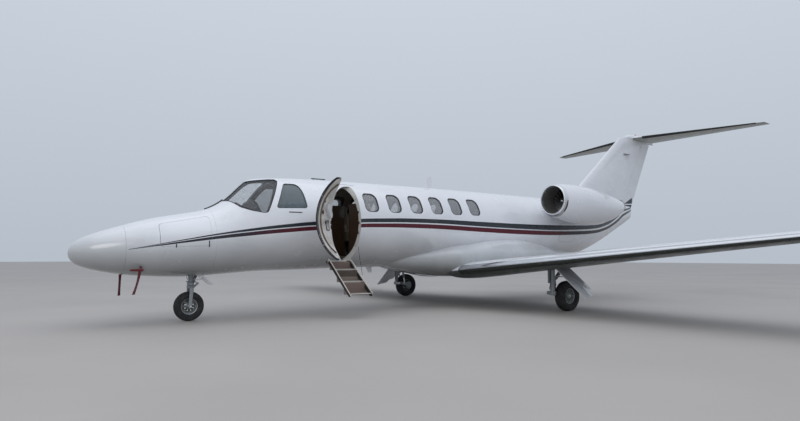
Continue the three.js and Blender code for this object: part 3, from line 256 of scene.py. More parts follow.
SPANWISE = (8, 0.6, 8)
POLISHED = metal("polished_metal", rgb(0.62, 0.635, 0.65), rgb(0.52, 0.53, 0.55), 0.16, SPANWISE, 12, 0.03)
# Painted shade and painted reflection: a dark copy of the polished metal for the lower side of the leading
# edge, for its shade and the dark ground it mirrors.
LOWER_EDGE_SHADE_METAL = metal("polished_metal_below_painted_shade", rgb(0.11, 0.117, 0.114), rgb(0.075, 0.08, 0.078), 0.24,
                      SPANWISE, 12, 0.03)
SATIN = metal("satin_lip_metal", rgb(0.78, 0.79, 0.80), rgb(0.68, 0.69, 0.71), 0.34)
CHROME = metal("bright_piston", rgb(0.86, 0.87, 0.88), rgb(0.75, 0.76, 0.78), 0.08, (1, 1, 0.2), 30, 0.02)
STEEL = metal("satin_steel", rgb(0.50, 0.51, 0.52), rgb(0.40, 0.41, 0.42), 0.30)
TITANIUM = metal("dark_titanium", rgb(0.22, 0.215, 0.21), rgb(0.15, 0.148, 0.145), 0.34, (0.3, 4, 4), 20)
CAST = metal("cast_wheel", rgb(0.40, 0.41, 0.41), rgb(0.28, 0.29, 0.29), 0.42, (1, 1, 1), 150, 0.12)
# Painted shade: darker metal for the recessed web of the wheels.
WHEEL_WEB_SHADE = metal("wheel_web_painted_shade", rgb(0.17, 0.18, 0.17), rgb(0.10, 0.11, 0.10), 0.5, (1, 1, 1), 90, 0.12)

def rubber(name, light, dark, rough, scale):
    g = Graph(name)
    dust = g.spread(g.noise(14, 5), 0.45, 0.75, 0.0, 0.5)
    color = g.mix(dust, dark, light)
    return g.surface(Base_Color=color, Roughness=g.wander(30, rough * 0.85, rough * 1.1),
                     Normal=g.bump(g.noise(scale, 4), 0.25, 0.0012))


TYRE = rubber("tyre_rubber", rgb(0.060, 0.058, 0.055), rgb(0.018, 0.018, 0.019), 0.85, 260)
SEAL = rubber("black_rubber", rgb(0.040, 0.040, 0.042), rgb(0.014, 0.014, 0.016), 0.55, 300)
BOOT = rubber("boot_rubber", rgb(0.018, 0.019, 0.020), rgb(0.007, 0.008, 0.009), 0.55, 120)
DUCT_GREY = rubber("duct_liner", rgb(0.16, 0.15, 0.14), rgb(0.09, 0.085, 0.08), 0.5, 200)
MATTE_BLACK = rubber("matte_black_plastic", rgb(0.030, 0.030, 0.033), rgb(0.013, 0.013, 0.015), 0.6, 500)


def leather(name, light, dark, scale=180):
    g = Graph(name)
    cells = g.node("TexVoronoi", {"Vector": g.place, "Scale": scale}).outputs["Distance"]
    color = g.mix(g.mottle(7), light, dark)
    color = g.mix(g.spread(cells, 0.0, 0.5, 0.25, 0.0), color, dark)
    return g.surface(Base_Color=color, Roughness=g.wander(22, 0.38, 0.55),
                     Normal=g.bump(cells, 0.22, 0.0008), Sheen_Weight=0.1)


def textile(name, light, dark, scale, sheen=0.4):
    g = Graph(name)
    warp, weft = (g.wave(scale, way, Distortion=1.5, Detail=2.0) for way in "XZ")
    threads = g.maths("ADD", g.maths("MULTIPLY", warp, weft), g.noise(scale * 2.2, 4))
    color = g.mix(g.spread(threads, 0.3, 1.2, 0.0, 1.0), dark, light)
    return g.surface(Base_Color=color, Roughness=0.92, Normal=g.bump(threads, 0.5, 0.002), Sheen_Weight=sheen)


CREAM_LEATHER = leather("cream_leather", rgb(0.52, 0.45, 0.35), rgb(0.40, 0.335, 0.25))
DARK_LEATHER = leather("charcoal_leather", rgb(0.045, 0.043, 0.043), rgb(0.024, 0.023, 0.024))
CARPET = textile("brown_carpet", rgb(0.115, 0.082, 0.062), rgb(0.052, 0.037, 0.028), 150)
TREAD_CARPET = textile("tread_carpet", rgb(0.24, 0.175, 0.145), rgb(0.135, 0.095, 0.08), 170)
# Painted light: paler carpet for the lower part of the second riser, standing in for light falling there.
RISER_LIT_CARPET = textile("riser_carpet_painted_light", rgb(0.30, 0.245, 0.20), rgb(0.19, 0.15, 0.12), 170)
HEADLINER = textile("cream_headliner", rgb(0.36, 0.32, 0.27), rgb(0.29, 0.255, 0.215), 260, 0.2)
RED_CLOTH = textile("red_streamer_cloth", rgb(0.17, 0.016, 0.022), rgb(0.09, 0.008, 0.013), 320, 0.3)


def plastic(name, light, dark, rough=0.45):
    g = Graph(name)
    color = g.mix(g.mottle(6), light, dark)
    return g.surface(Base_Color=color, Roughness=g.wander(40, rough * 0.85, rough * 1.2),
                     Normal=g.bump(g.noise(600, 2), 0.06, 0.0006))


DOOR_LINING = plastic("door_lining", rgb(0.80, 0.77, 0.73), rgb(0.50, 0.455, 0.41), 0.55)
# Painted shade: dark grey for the sleeves inside the cabin windows, standing in for the shade in their
# recesses.
SLEEVE_SHADE = plastic("window_sleeve_painted_shade", rgb(0.10, 0.10, 0.105), rgb(0.06, 0.06, 0.065))
PALE_PLASTIC = plastic("pale_plastic", rgb(0.66, 0.65, 0.61), rgb(0.58, 0.57, 0.53))
# Painted shade: dark brown for the doorway's inner part and for the strip on the door's lining.
BROWN_SHADE = plastic("brown_painted_shade", rgb(0.16, 0.115, 0.085), rgb(0.10, 0.070, 0.052), 0.5)
PRIMER = plastic("zinc_primer", rgb(0.30, 0.33, 0.26), rgb(0.24, 0.265, 0.21), 0.7)


def wood():
    g = Graph("dark_veneer")
    drawn_out = g.node("Mapping", {"Vector": g.place, "Scale": (0.4, 1.0, 4.0)}).outputs[0]
    rings = g.wave(6.0, "Z", Vector=drawn_out, Distortion=9.0, Detail=4.0, **{"Detail Scale": 1.6})
    color = g.mix(rings, rgb(0.060, 0.034, 0.020), rgb(0.115, 0.064, 0.036))
    return g.surface(Base_Color=color, Roughness=0.28, Normal=g.bump(rings, 0.04, 0.0006), Coat_Weight=0.7,
                     Coat_Roughness=0.08)


VENEER = wood()


def glass(name, tint_and_reflection, clear, rough=0.04):
    """A pane that shows what is behind it, with dust and faint waviness; its base colour is its tint together
    with painted reflection of the sky.
    """
    g = Graph(name)
    dust = g.spread(g.noise(18, 5), 0.5, 0.8, 0.0, 0.25)
    color = g.mix(dust, tint_and_reflection, rgb(0.30, 0.31, 0.32))
    through = g.maths("ADD", clear, g.maths("MULTIPLY", dust, 0.3))
    return g.surface(Base_Color=color, Roughness=g.wander(30, rough * 0.7, rough * 2), Alpha=through,
                     Normal=g.bump(g.noise(3, 1), 0.04, 0.01), Specular_IOR_Level=0.9,
                     Coat_Weight=1.0, Coat_Roughness=0.02)


# Base colours of the panes: tint with painted reflection of the sky, palest on the cabin windows.
SCREEN_GLASS = glass("windscreen_glass", rgb(0.25, 0.27, 0.29), 0.11)
SIDE_GLASS = glass("side_window_glass", rgb(0.14, 0.195, 0.225), 0.36)
CABIN_GLASS = glass("cabin_window_glass", rgb(0.60, 0.61, 0.64), 0.26)


def lamp_glass(name, color):
    """Ribbed glass of a lamp or a display that is off."""
    g = Graph(name)
    ribs = g.wave(60.0)
    deep = rgb(*(0.4 * part for part in color[:3]))
    shade = g.mix(g.spread(ribs, 0.2, 0.8, 0.0, 0.35), color, deep)
    return g.surface(Base_Color=shade, Roughness=0.12, Normal=g.bump(ribs, 0.3, 0.001),
                     Emission_Color=color, Emission_Strength=0.0, Coat_Weight=1.0)


RED_LENS = lamp_glass("red_lens", rgb(0.45, 0.02, 0.02))
GREEN_LENS = lamp_glass("green_lens", rgb(0.02, 0.28, 0.12))
DISPLAY = lamp_glass("display_glass", rgb(0.02, 0.03, 0.04))


# Shapes

def turns_round(count):
    """Angles spread evenly over a whole turn."""
    return [2 * math.pi * k / count for k in range(count)]


def beside(along):
    """A direction at right angles to another."""
    helper = Vector((0, 0, 1)) if abs(along.z) < 0.9 else Vector((1, 0, 0))
    return along.cross(helper).normalized()


def circle(middle, side, other, radius, sides):
    """Points round a middle, in the plane of two directions."""
    return [tuple(middle + side * radius * math.cos(turn) + other * radius * math.sin(turn))
            for turn in turns_round(sides)]


class Shape:
    """Faces of one piece over points of (station, side, height), each with a paint number."""

    def __init__(self):
        self.points = []
        self.faces = []
        self.paints = []

    def grid(self, rings, paint=0, closed=True, caps=(True, True)):
        """Skins a list of rings. paint is a number, or a function of the ring and the place in the ring."""
        start = len(self.points)
        count = len(rings[0])
        for ring in rings:
            self.points.extend(ring)
        steps = count if closed else count - 1
        for i in range(len(rings) - 1):
            for j in range(steps):
                after = (j + 1) % count
                here = start + i * count
                there = here + count
                self.faces.append((here + j, here + after, there + after, there + j))
                self.paints.append(paint(i, j) if callable(paint) else paint)
        base = 0 if callable(paint) else paint
        if closed and caps[0]:
            self.faces.append(tuple(start + j for j in range(count)))
            self.paints.append(base)
        if closed and caps[1]:
            last = start + (len(rings) - 1) * count
            self.faces.append(tuple(last + j for j in reversed(range(count))))
            self.paints.append(base)
        return self

    def block(self, x, y, z, paint=0):
        """Box between two values along each direction."""
        corners = ((y[0], z[0]), (y[1], z[0]), (y[1], z[1]), (y[0], z[1]))
        return self.grid([[(station, *corner) for corner in corners] for station in x], paint)

    def bar(self, a, b, radius_a, radius_b, sides=20, paint=0):
        """Round bar between two points."""
        return self.tube([a, b], [radius_a, radius_b], sides, paint)

    def tube(self, points, radii, sides=14, paint=0):
        """Round tube through points. radii is one radius, or a list with one for each point."""
        spots = [Vector(point) for point in points]
        rings = []
        side = None
        for i, spot in enumerate(spots):
            before = spots[max(i - 1, 0)]
            after = spots[min(i + 1, len(spots) - 1)]
            along = (after - before).normalized()
            if side is None:
                side = beside(along)
            side = (side - along * side.dot(along)).normalized()
            radius = radii[i] if isinstance(radii, list) else radii
            rings.append(circle(spot, side, along.cross(side), radius, sides))
        return self.grid(rings, paint)

    def turned(self, profile, centre, axis, sides=64, paint=0, closed=False):
        """Solid of revolution: profile holds (radius, distance along the axis)."""
        along = Vector(axis).normalized()
        side = beside(along)
        other = along.cross(side)
        middle = Vector(centre)
        rings = [circle(middle + along * distance, side, other, max(radius, 0.01), sides)
                 for radius, distance in profile]
        if closed:
            rings.append(rings[0])
        return self.grid(rings, paint, True, (not closed, not closed))

    def mirrored(self):
        made = Shape()
        made.points = [(x, -y, z) for x, y, z in self.points]
        made.faces = [tuple(reversed(face)) for face in self.faces]
        made.paints = list(self.paints)
        return made

    def on_side(self, side):
        return self if side == PORT else self.mirrored()

    def join(self, other):
        start = len(self.points)
        self.points.extend(other.points)
        self.faces.extend(tuple(start + i for i in face) for face in other.faces)
        self.paints.extend(other.paints)
        return self


SHARP = 35.0  # degrees from which an edge shows


def smooth(mesh, sharp):
    mesh.polygons.foreach_set("use_smooth", [True] * len(mesh.polygons))
    mesh.set_sharp_from_angle(angle=math.radians(sharp))
    mesh.update()


def linked(name, mesh):
    """Object of a mesh, put into the scene."""
    made = bpy.data.objects.new(name, mesh)
    scene.collection.objects.link(made)
    return made


def loose(name, shape, materials, sharp=SHARP):
    """Object of a shape that rides on no body yet."""
    mesh = bpy.data.meshes.new(name)
    mesh.from_pydata([place(*point) for point in shape.points], [], shape.faces)
    for material in materials:
        mesh.materials.append(material)
    mesh.polygons.foreach_set("material_index", shape.paints)
    work = bmesh.new()
    work.from_mesh(mesh)
    bmesh.ops.remove_doubles(work, verts=work.verts, dist=1e-6)
    bmesh.ops.recalc_face_normals(work, faces=work.faces)
    work.to_mesh(mesh)
    work.free()
    smooth(mesh, sharp)
    return linked(name, mesh)


def attach(made, body, replaces=()):
    """Fixes an object to a body and the CAD nodes that it replaces."""
    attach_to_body(made, body)
    if replaces:
        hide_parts(*replaces)
    return made


def piece(name, shape, materials, body="airframe", replaces=(), sharp=SHARP):
    return attach(loose(name, shape, materials, sharp), body, replaces)


def cut(target, cutter, operation="DIFFERENCE"):
    """Cuts a piece with another object's closed mesh, and keeps the result as its mesh."""
    modifier = target.modifiers.new("cut", "BOOLEAN")
    modifier.operation = operation
    modifier.solver = "EXACT"
    modifier.object = cutter
    depsgraph = bpy.context.evaluated_depsgraph_get()
    mesh = bpy.data.meshes.new_from_object(target.evaluated_get(depsgraph))
    target.modifiers.clear()
    target.data = mesh
    smooth(mesh, SHARP)
    bpy.data.objects.remove(cutter)
    return target


def cut_by_shape(target, shape, paint=0, operation="DIFFERENCE"):
    """Cuts a piece with a shape, whose faces get one paint."""
    shape.paints = [paint] * len(shape.faces)
    return cut(target, loose("cutter", shape, list(target.data.materials)), operation)


def bevelled(made, width, segments=2, angle=40.0):
    """Rounds the edges of a piece."""
    modifier = made.modifiers.new("bevel", "BEVEL")
    modifier.width = width / 1000
    modifier.segments = segments
    modifier.limit_method = "ANGLE"
    modifier.angle_limit = math.radians(angle)
    modifier.harden_normals = True
    return made


def rounded_outline(centre_u, centre_v, half_u, half_v, corner, steps=8):
    """Rounded rectangle of (u, v) points."""
    points = []
    for sign_u, sign_v, quarter in ((1, 1, 0), (-1, 1, 1), (-1, -1, 2), (1, -1, 3)):
        for step in range(steps + 1):
            angle = math.pi / 2 * (quarter + step / steps)
            points.append((
                centre_u + sign_u * (half_u - corner) + corner * math.cos(angle),
                centre_v + sign_v * (half_v - corner) + corner * math.sin(angle),
            ))
    return points


def rounded_polygon(outline, radius, steps=5):
    """Outline with each corner turned into an arc."""
    points = []
    count = len(outline)
    for i, corner in enumerate(outline):
        spot = Vector(corner)
        before = Vector(outline[i - 1]) - spot
        after = Vector(outline[(i + 1) % count]) - spot
        reach = min(radius, before.length * 0.45, after.length * 0.45)
        start = spot + before.normalized() * reach
        end = spot + after.normalized() * reach
        for step in range(steps + 1):
            t = step / steps
            points.append(tuple((1 - t) ** 2 * start + 2 * t * (1 - t) * spot + t ** 2 * end))
    return points


def shrunk(outline, gap):
    """Outline of (u, v) points moved inwards."""
    count = len(outline)
    area = sum(outline[i][0] * outline[(i + 1) % count][1] - outline[i][1] * outline[(i + 1) % count][0]
               for i in range(count))
    sign = 1 if area > 0 else -1
    moved = []
    for i in range(count):
        before = Vector(outline[i - 1])
        after = Vector(outline[(i + 1) % count])
        along = (after - before).normalized()
        moved.append((outline[i][0] - sign * gap * along.y, outline[i][1] + sign * gap * along.x))
    return moved


def side_prism(outline, *sides):
    """An outline of (station, height) points carried from one side distance to another."""
    return Shape().grid([[(x, y, z) for x, z in outline] for y in sides])


OUTSIDE = -1000  # well outside the port skin


def port_prism(outline, inner=300):
    """Space beside the fuselage that an outline covers, from outside the port skin to a side distance."""
    return side_prism(outline, OUTSIDE, -inner)


def rows_of(columns, *rows):
    """Rows of a table whose columns have names."""
    return [dict(zip(columns.split(), row)) for row in rows]


# Fuselage skin

BODY = rows_of(
    "x bottom top half waist",
    (132, 1036, 1068, 18, 1052), (142, 992, 1112, 62, 1052), (172, 938, 1164, 118, 1052),
    (240, 880, 1228, 183, 1053), (420, 814, 1322, 282, 1055), (800, 738, 1456, 400, 1080),
    (1200, 704, 1577, 490, 1115), (1600, 690, 1661, 560, 1160), (2000, 702, 1755, 618, 1230),
    (2280, 722, 1912, 655, 1310), (2660, 750, 2262, 700, 1430), (2900, 762, 2322, 727, 1490),
    (3300, 768, 2356, 762, 1545), (3800, 780, 2380, 792, 1580), (4600, 797, 2400, 802, 1598),
    (7000, 834, 2436, 802, 1635), (9300, 862, 2450, 802, 1660), (10100, 882, 2452, 795, 1680),
    (10900, 965, 2454, 745, 1730), (11700, 1165, 2458, 625, 1830), (12500, 1438, 2466, 468, 1970),
    (13300, 1756, 2480, 296, 2130), (13900, 2000, 2490, 160, 2260), (14150, 2105, 2480, 85, 2310),
)
NOSE_TIP = 132
RADOME_END = 800
CABIN_START = 2000
CABIN_END = 9300
BAY_END = 11000
TAIL_END = 14150
CABIN_WALL = 75
SEAM = 1.5  # between neighbouring panels

# Heights of the stripes' edges at a station: a and b are the upper stripe's, c and d the lower one's
STRIPES = rows_of(
    "x a b c d",
    (820, 1101, 1098, 1097, 1093), (1120, 1163, 1155, 1152, 1139), (1290, 1199, 1188, 1183, 1163),
    (1480, 1239, 1225, 1218, 1191), (1690, 1282, 1265, 1255, 1221), (1890, 1323, 1302, 1290, 1249),
    (2113, 1366, 1339, 1326, 1278), (2335, 1406, 1372, 1359, 1305), (2562, 1444, 1403, 1390, 1332),
    (2797, 1481, 1434, 1420, 1359), (3125, 1526, 1472, 1457, 1393), (3432, 1565, 1505, 1489, 1423),
    (4470, 1662, 1596, 1576, 1510), (4960, 1690, 1619, 1599, 1527), (5410, 1709, 1634, 1613, 1536),
    (6260, 1724, 1642, 1620, 1537), (7350, 1720, 1624, 1604, 1513), (8550, 1720, 1612, 1594, 1497),
    (9660, 1732, 1618, 1596, 1504), (10580, 1760, 1656, 1622, 1538), (11250, 1792, 1698, 1658, 1578),
    (11830, 1848, 1758, 1714, 1638), (12480, 1984, 1896, 1850, 1772), (13060, 2178, 2102, 2054, 1968),
    (13420, 2310, 2248, 2203, 2123), (14150, 2440, 2400, 2380, 2340),
)
STRIPE_START = 820
BANDS = ((26, 0), (2, 1), (1, 0), (2, 2), (28, 0))  # faces and paint of each band, from the top down
BAND_PAINTS = [paint_number for count, paint_number in BANDS for _ in range(count)]
HALF_RING = len(BAND_PAINTS)


def along(table, x, column):
    """Smooth value of a table's column at a station."""
    if x <= table[0]["x"]:
        return table[0][column]
    if x >= table[-1]["x"]:
        return table[-1][column]
    upper = next(i for i, row in enumerate(table) if row["x"] >= x)
    a, b = table[upper - 1], table[upper]
    before = table[max(upper - 2, 0)]
    after = table[min(upper + 1, len(table) - 1)]
    step = b["x"] - a["x"]
    slope_a = (b[column] - before[column]) / (b["x"] - before["x"])
    slope_b = (after[column] - a[column]) / (after["x"] - a["x"])
    t = (x - a["x"]) / step
    return ((2 * t ** 3 - 3 * t ** 2 + 1) * a[column] + (t ** 3 - 2 * t ** 2 + t) * step * slope_a
            + (3 * t ** 2 - 2 * t ** 3) * b[column] + (t ** 3 - t ** 2) * step * slope_b)


class Section:
    """Cross-section of the fuselage at a station, moved outwards by grow."""

    def __init__(self, x, grow=0.0):
        self.x = x
        self.half = along(BODY, x, "half") + grow
        self.waist = along(BODY, x, "waist")
        self.rise = along(BODY, x, "top") + grow - self.waist
        self.drop = self.waist - along(BODY, x, "bottom") + grow

    def point(self, turn):
        """turn is 0 at the top and pi at the bottom, down the port side."""
        lift = math.cos(turn)
        reach = self.rise if lift > 0 else self.drop
        return (self.x, -self.half * math.sin(turn), self.waist + lift * reach)

    def turn_at(self, z):
        """Turn of the skin's point at a height, kept a little away from top and bottom."""
        lift = (z - self.waist) / (self.rise if z > self.waist else self.drop)
        return math.acos(max(-0.995, min(0.995, lift)))

    def side_at(self, z):
        """Distance of the skin from the middle at a height."""
        return self.half * math.sin(self.turn_at(z))


def band_turns(x):
    """Turns of the half ring's points, so that its bands follow the stripes."""
    section = Section(max(x, STRIPE_START))
    edges = [0.0] + [section.turn_at(along(STRIPES, max(x, STRIPE_START), key)) for key in "abcd"] + [math.pi]
    turns = [0.0]
    for band, (count, _) in enumerate(BANDS):
        for step in range(1, count + 1):
            turns.append(edges[band] + (edges[band + 1] - edges[band]) * step / count)
    return turns


def full_ring(section, turns):
    """Whole ring from a half ring's turns."""
    port = [section.point(turn) for turn in turns]
    starboard = [(x, -y, z) for x, y, z in reversed(port[1:-1])]
    return port + starboard


def plain_turns(count):
    """Even turns of a half ring."""
    return [math.pi * step / count for step in range(count + 1)]


def stations(start, end, step):
    """Stations from start to end, no more than a step apart."""
    count = max(1, math.ceil((end - start) / step))
    return [start + (end - start) * i / count for i in range(count + 1)]


def skin(steps):
    """Closed solid of the fuselage with the stripes as bands of faces, which start behind the nose tip."""
    rings = [full_ring(Section(x), band_turns(x)) for x in steps]

    def band(i, j):
        k = j if j < HALF_RING else 2 * HALF_RING - 1 - j
        return BAND_PAINTS[k] if steps[i] >= STRIPE_START - 1 else 0

    return Shape().grid(rings, band)


def core(start, end, inset, step=60.0, count=28):
    """Plain solid inside the skin by inset."""
    turns = plain_turns(count)
    return Shape().grid([full_ring(Section(x, -inset), turns) for x in stations(start, end, step)])


SKIN_MATERIALS = [WHITE, NAVY, MAROON, HEADLINER, SEAL, PRIMER, PALE_PLASTIC, BROWN_SHADE]
LINING, REVEAL, PRIMED, FRAME, SHADED = (
    SKIN_MATERIALS.index(material) for material in (HEADLINER, SEAL, PRIMER, PALE_PLASTIC, BROWN_SHADE))
SKIN_STEP = 30
NOSE_RINGS = 56

nose_steps = [NOSE_TIP + (RADOME_END - SEAM - NOSE_TIP) * (i / NOSE_RINGS) ** 1.8
              for i in range(NOSE_RINGS + 1)]
piece("nose_cone_skin", skin(nose_steps), SKIN_MATERIALS, replaces=["nose_cone"])


# Cutting and pairing

def mirrored_copy(made, name):
    """The twin of a port piece on the other side."""
    mesh = made.data.copy()
    mesh.transform(Matrix.Scale(-1, 4, (0, 1, 0)))
    mesh.flip_normals()
    twin = linked(name, mesh)
    for modifier in made.modifiers:
        bevelled(twin, modifier.width * 1000, modifier.segments, math.degrees(modifier.angle_limit))
    return twin


def pair(made, name, body="airframe", replaces=()):
    """Attaches a port piece and its twin. In the names, {} stands for left or right."""
    for side, word in SIDES:
        one = made if side == PORT else mirrored_copy(made, name.format(word))
        one.name = name.format(word)
        attach(one, body.format(word), [node.format(word) for node in replaces])
    return made


def dress(material, *nodes):
    """Gives CAD nodes a material."""
    for node in nodes:
        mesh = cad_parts[node].data
        mesh.materials.clear()
        mesh.materials.append(material)


def on_skin(outline, depth):
    """Points of an outline of (station, height) on the port skin, below it by depth."""
    return [(x, -Section(x, -depth).side_at(z), z) for x, z in outline]


def scaled(outline, share):
    """Outline of (u, v) points drawn towards their middle."""
    middle_u = sum(u for u, _ in outline) / len(outline)
    middle_v = sum(v for _, v in outline) / len(outline)
    return [(middle_u + (u - middle_u) * share, middle_v + (v - middle_v) * share) for u, v in outline]


def patch(outline, shallow, deep, rings=7, paint=0):
    """Curved plate that follows the port skin within an outline, from one depth to another."""
    shares = [0.02] + [k / rings for k in range(1, rings + 1)]
    loops = [on_skin(scaled(outline, share), shallow) for share in shares]
    loops += [on_skin(scaled(outline, share), deep) for share in reversed(shares)]
    return Shape().grid(loops, paint)


def collar(outer, inner, shallow, deep):
    """Ring that follows the port skin between two outlines, from one depth to another."""
    loops = [on_skin(outer, shallow), on_skin(inner, shallow), on_skin(inner, deep), on_skin(outer, deep)]
    return Shape().grid(loops + loops[:1], 0, True, (False, False))


def hollowed(name, start, end, hollow, inner_paint):
    """Part of the fuselage between two stations with a hollow inside."""
    made = loose(name, skin(stations(start, end, SKIN_STEP)), SKIN_MATERIALS)
    return cut_by_shape(made, hollow, inner_paint)


def leaf(name, start, end, outline_cutter, wall, inner_paint, edge_paint=REVEAL):
    """Piece of the skin inside a cutter, as thick as wall, with a painted edge."""
    made = loose(name, skin(stations(start, end, SKIN_STEP)), SKIN_MATERIALS)
    cut_by_shape(made, outline_cutter, edge_paint, "INTERSECT")
    return cut_by_shape(made, core(start - 40, end + 40, wall, 40, 36), inner_paint)


# Nose section

NOSE_WALL = 30
NOSE_BAY = {"start": 950, "end": 1960, "floor": 1000}
NOSE_WELL = {"start": 1690, "end": 1990, "half": 105, "top": 930}
NOSE_DOOR = {
    "start": 1230, "end": 1930, "below_top": 110, "bottom_front": 1140, "bottom_aft": 1160, "corner": 45,
    "inner": 150,
}


def nose_door_outline(gap, front_gap):
    start = NOSE_DOOR["start"] + front_gap
    end = NOSE_DOOR["end"] - gap
    top = [(x, along(BODY, x, "top") - NOSE_DOOR["below_top"] - gap) for x in
           (start + (end - start) * share for share in (1, 0.8, 0.6, 0.4, 0.2, 0))]
    outline = [(start, NOSE_DOOR["bottom_front"] + gap), (end, NOSE_DOOR["bottom_aft"] + gap)] + top
    return rounded_polygon(outline, NOSE_DOOR["corner"])


bay = core(NOSE_BAY["start"], NOSE_BAY["end"], NOSE_WALL)
bay.points = [(x, y, max(z, NOSE_BAY["floor"])) for x, y, z in bay.points]
nose_body = hollowed("nose_section_skin", RADOME_END, CABIN_START - SEAM, bay, PRIMED)
door_hole = port_prism(nose_door_outline(0, 0), NOSE_DOOR["inner"])
door_space = port_prism(nose_door_outline(2, 5), NOSE_DOOR["inner"])
well = Shape().block((NOSE_WELL["start"], NOSE_WELL["end"]), (-NOSE_WELL["half"], NOSE_WELL["half"]),
                     (500, NOSE_WELL["top"]))
cut_by_shape(nose_body, Shape().join(door_hole).join(door_hole.mirrored()), 0)
cut_by_shape(nose_body, well, PRIMED)
attach(nose_body, "airframe", ["nose_section"])
nose_leaf = leaf("leaf", 1150, CABIN_START, door_space, NOSE_WALL, PRIMED, 0)
pair(nose_leaf, "nose_baggage_door_{}_skin", "nose_baggage_door_{}", ["nose_baggage_door_{}"])


# Cabin shell

DOOR = {
    "front": 3848, "middle": 4360, "back": 4438, "sill": 937, "head": 2252, "hinge_x": 3812, "hinge_y": -797,
}
DOOR_OPEN = 139  # degrees
DOOR_SHELL = 24  # thickness of the leaf without its lining
REBATE = {"gap": -26, "depth": 74}  # wider inner part of the doorway, whose faces are dark brown painted shade
DOOR_SHAPE = {"front": 1.95, "aft": 5}  # exponents of the outline
CUT_START = -0.7  # turn about the hinge, in radians, at which the doorway's space starts


def door_edges(z, gap):
    """Front and aft ends of the doorway at a height."""
    middle = (DOOR["head"] + DOOR["sill"]) / 2
    half = (DOOR["head"] - DOOR["sill"]) / 2 - gap
    share = min(1, abs((z - middle) / half))
    reach = {key: (1 - share ** power) ** (1 / power) for key, power in DOOR_SHAPE.items()}
    front = DOOR["middle"] - (DOOR["middle"] - DOOR["front"] - gap) * reach["front"]
    aft = DOOR["middle"] + (DOOR["back"] - DOOR["middle"] - gap) * reach["aft"]
    return front, aft


def door_heights(gap, steps):
    bottom, top = DOOR["sill"] + gap, DOOR["head"] - gap
    return [bottom + (top - bottom) * (1 - math.cos(math.pi * i / steps)) / 2 for i in range(steps + 1)]


def doorway(gap, steps=44, arcs=20):
    """Space of the doorway, whose aft side turns about the hinge."""
    rings = []
    for z in door_heights(gap, steps):
        front, aft = door_edges(z, gap)
        x, y = DOOR["hinge_x"], DOOR["hinge_y"]
        radius = math.hypot(aft - x, -Section(aft).side_at(z) - y)
        last = math.acos((front - x) / radius)
        turns = [CUT_START + (last - CUT_START) * i / arcs for i in range(arcs + 1)]
        ring = [(front, y + (front - x) * math.tan(CUT_START), z)]
        rings.append(ring + [(x + radius * math.cos(turn), y + radius * math.sin(turn), z) for turn in turns])
    return Shape().grid(rings, FRAME)


def door_outline(gap, steps=44):
    """The doorway's outline as (station, height), from the sill up the front and down the back."""
    heights = door_heights(gap, steps)
    edges = [door_edges(z, gap) for z in heights]
    front = [(edge[0], z) for edge, z in zip(edges, heights)]
    aft = [(edge[1], z) for edge, z in zip(edges, heights)]
    return front + list(reversed(aft))[1:-1]


WINDOW = {"first": 4701, "pitch": 507, "count": 6, "half_x": 148, "half_z": 174, "corner": 98}
WINDSCREEN = [
    (2150, 1902), (2290, 1896), (2388, 1776), (2534, 1724), (2718, 1696), (2775, 1704), (2897, 1960),
    (2996, 2146), (3070, 2262), (3050, 2288), (2952, 2283), (2777, 2256), (2600, 2235), (2150, 2235),
]
SIDE_WINDOW = [
    (2926, 1782), (3410, 1803), (3432, 1825), (3420, 1967), (3405, 2102), (3380, 2180), (3335, 2212),
    (3175, 2212), (3135, 2188), (3062, 2071), (2989, 1921),
]
CENTRE_POST = 28
COCKPIT_OUTER = (CABIN_START + 8, 3500)
COCKPIT_INNER = (CABIN_START + 4, 3520)  # longer, so that it cuts through the ends


def window_height(x):
    return 1967 + 0.0195 * (x - WINDOW["first"])


def window_stations(side):
    return [WINDOW["first"] + WINDOW["pitch"] * i for i in range(0 if side == PORT else -1, WINDOW["count"])]


def window_outline(x, gap):
    return rounded_outline(x, window_height(x), WINDOW["half_x"] - gap, WINDOW["half_z"] - gap,
                           WINDOW["corner"], 9)


screen_outline = rounded_polygon(WINDSCREEN, 34)
side_outline = rounded_polygon(SIDE_WINDOW, 40)
cabin = hollowed("cabin_shell_skin", CABIN_START, CABIN_END - SEAM,
                 core(CABIN_START + 60, CABIN_END - 60, CABIN_WALL, 80, 40), LINING)
holes = Shape()
for side, word in SIDES:
    for x in window_stations(side):
        holes.join(port_prism(window_outline(x, 0)).on_side(side))
    holes.join(port_prism(screen_outline, CENTRE_POST).on_side(side))
    holes.join(port_prism(side_outline).on_side(side))
cut_by_shape(cabin, holes, REVEAL)
cut_by_shape(cabin, doorway(0), FRAME)
# The wider inner part of the doorway is cut with dark brown faces, painted shade of the dim cabin beyond.
rebate = loose("rebate", doorway(REBATE["gap"]), SKIN_MATERIALS)
cut_by_shape(rebate, core(3600, 4700, REBATE["depth"], 40, 60), SHADED, "INTERSECT")
rebate.data.polygons.foreach_set("material_index", [SHADED] * len(rebate.data.polygons))
cut(cabin, rebate)
attach(cabin, "airframe", ["cabin_shell"])

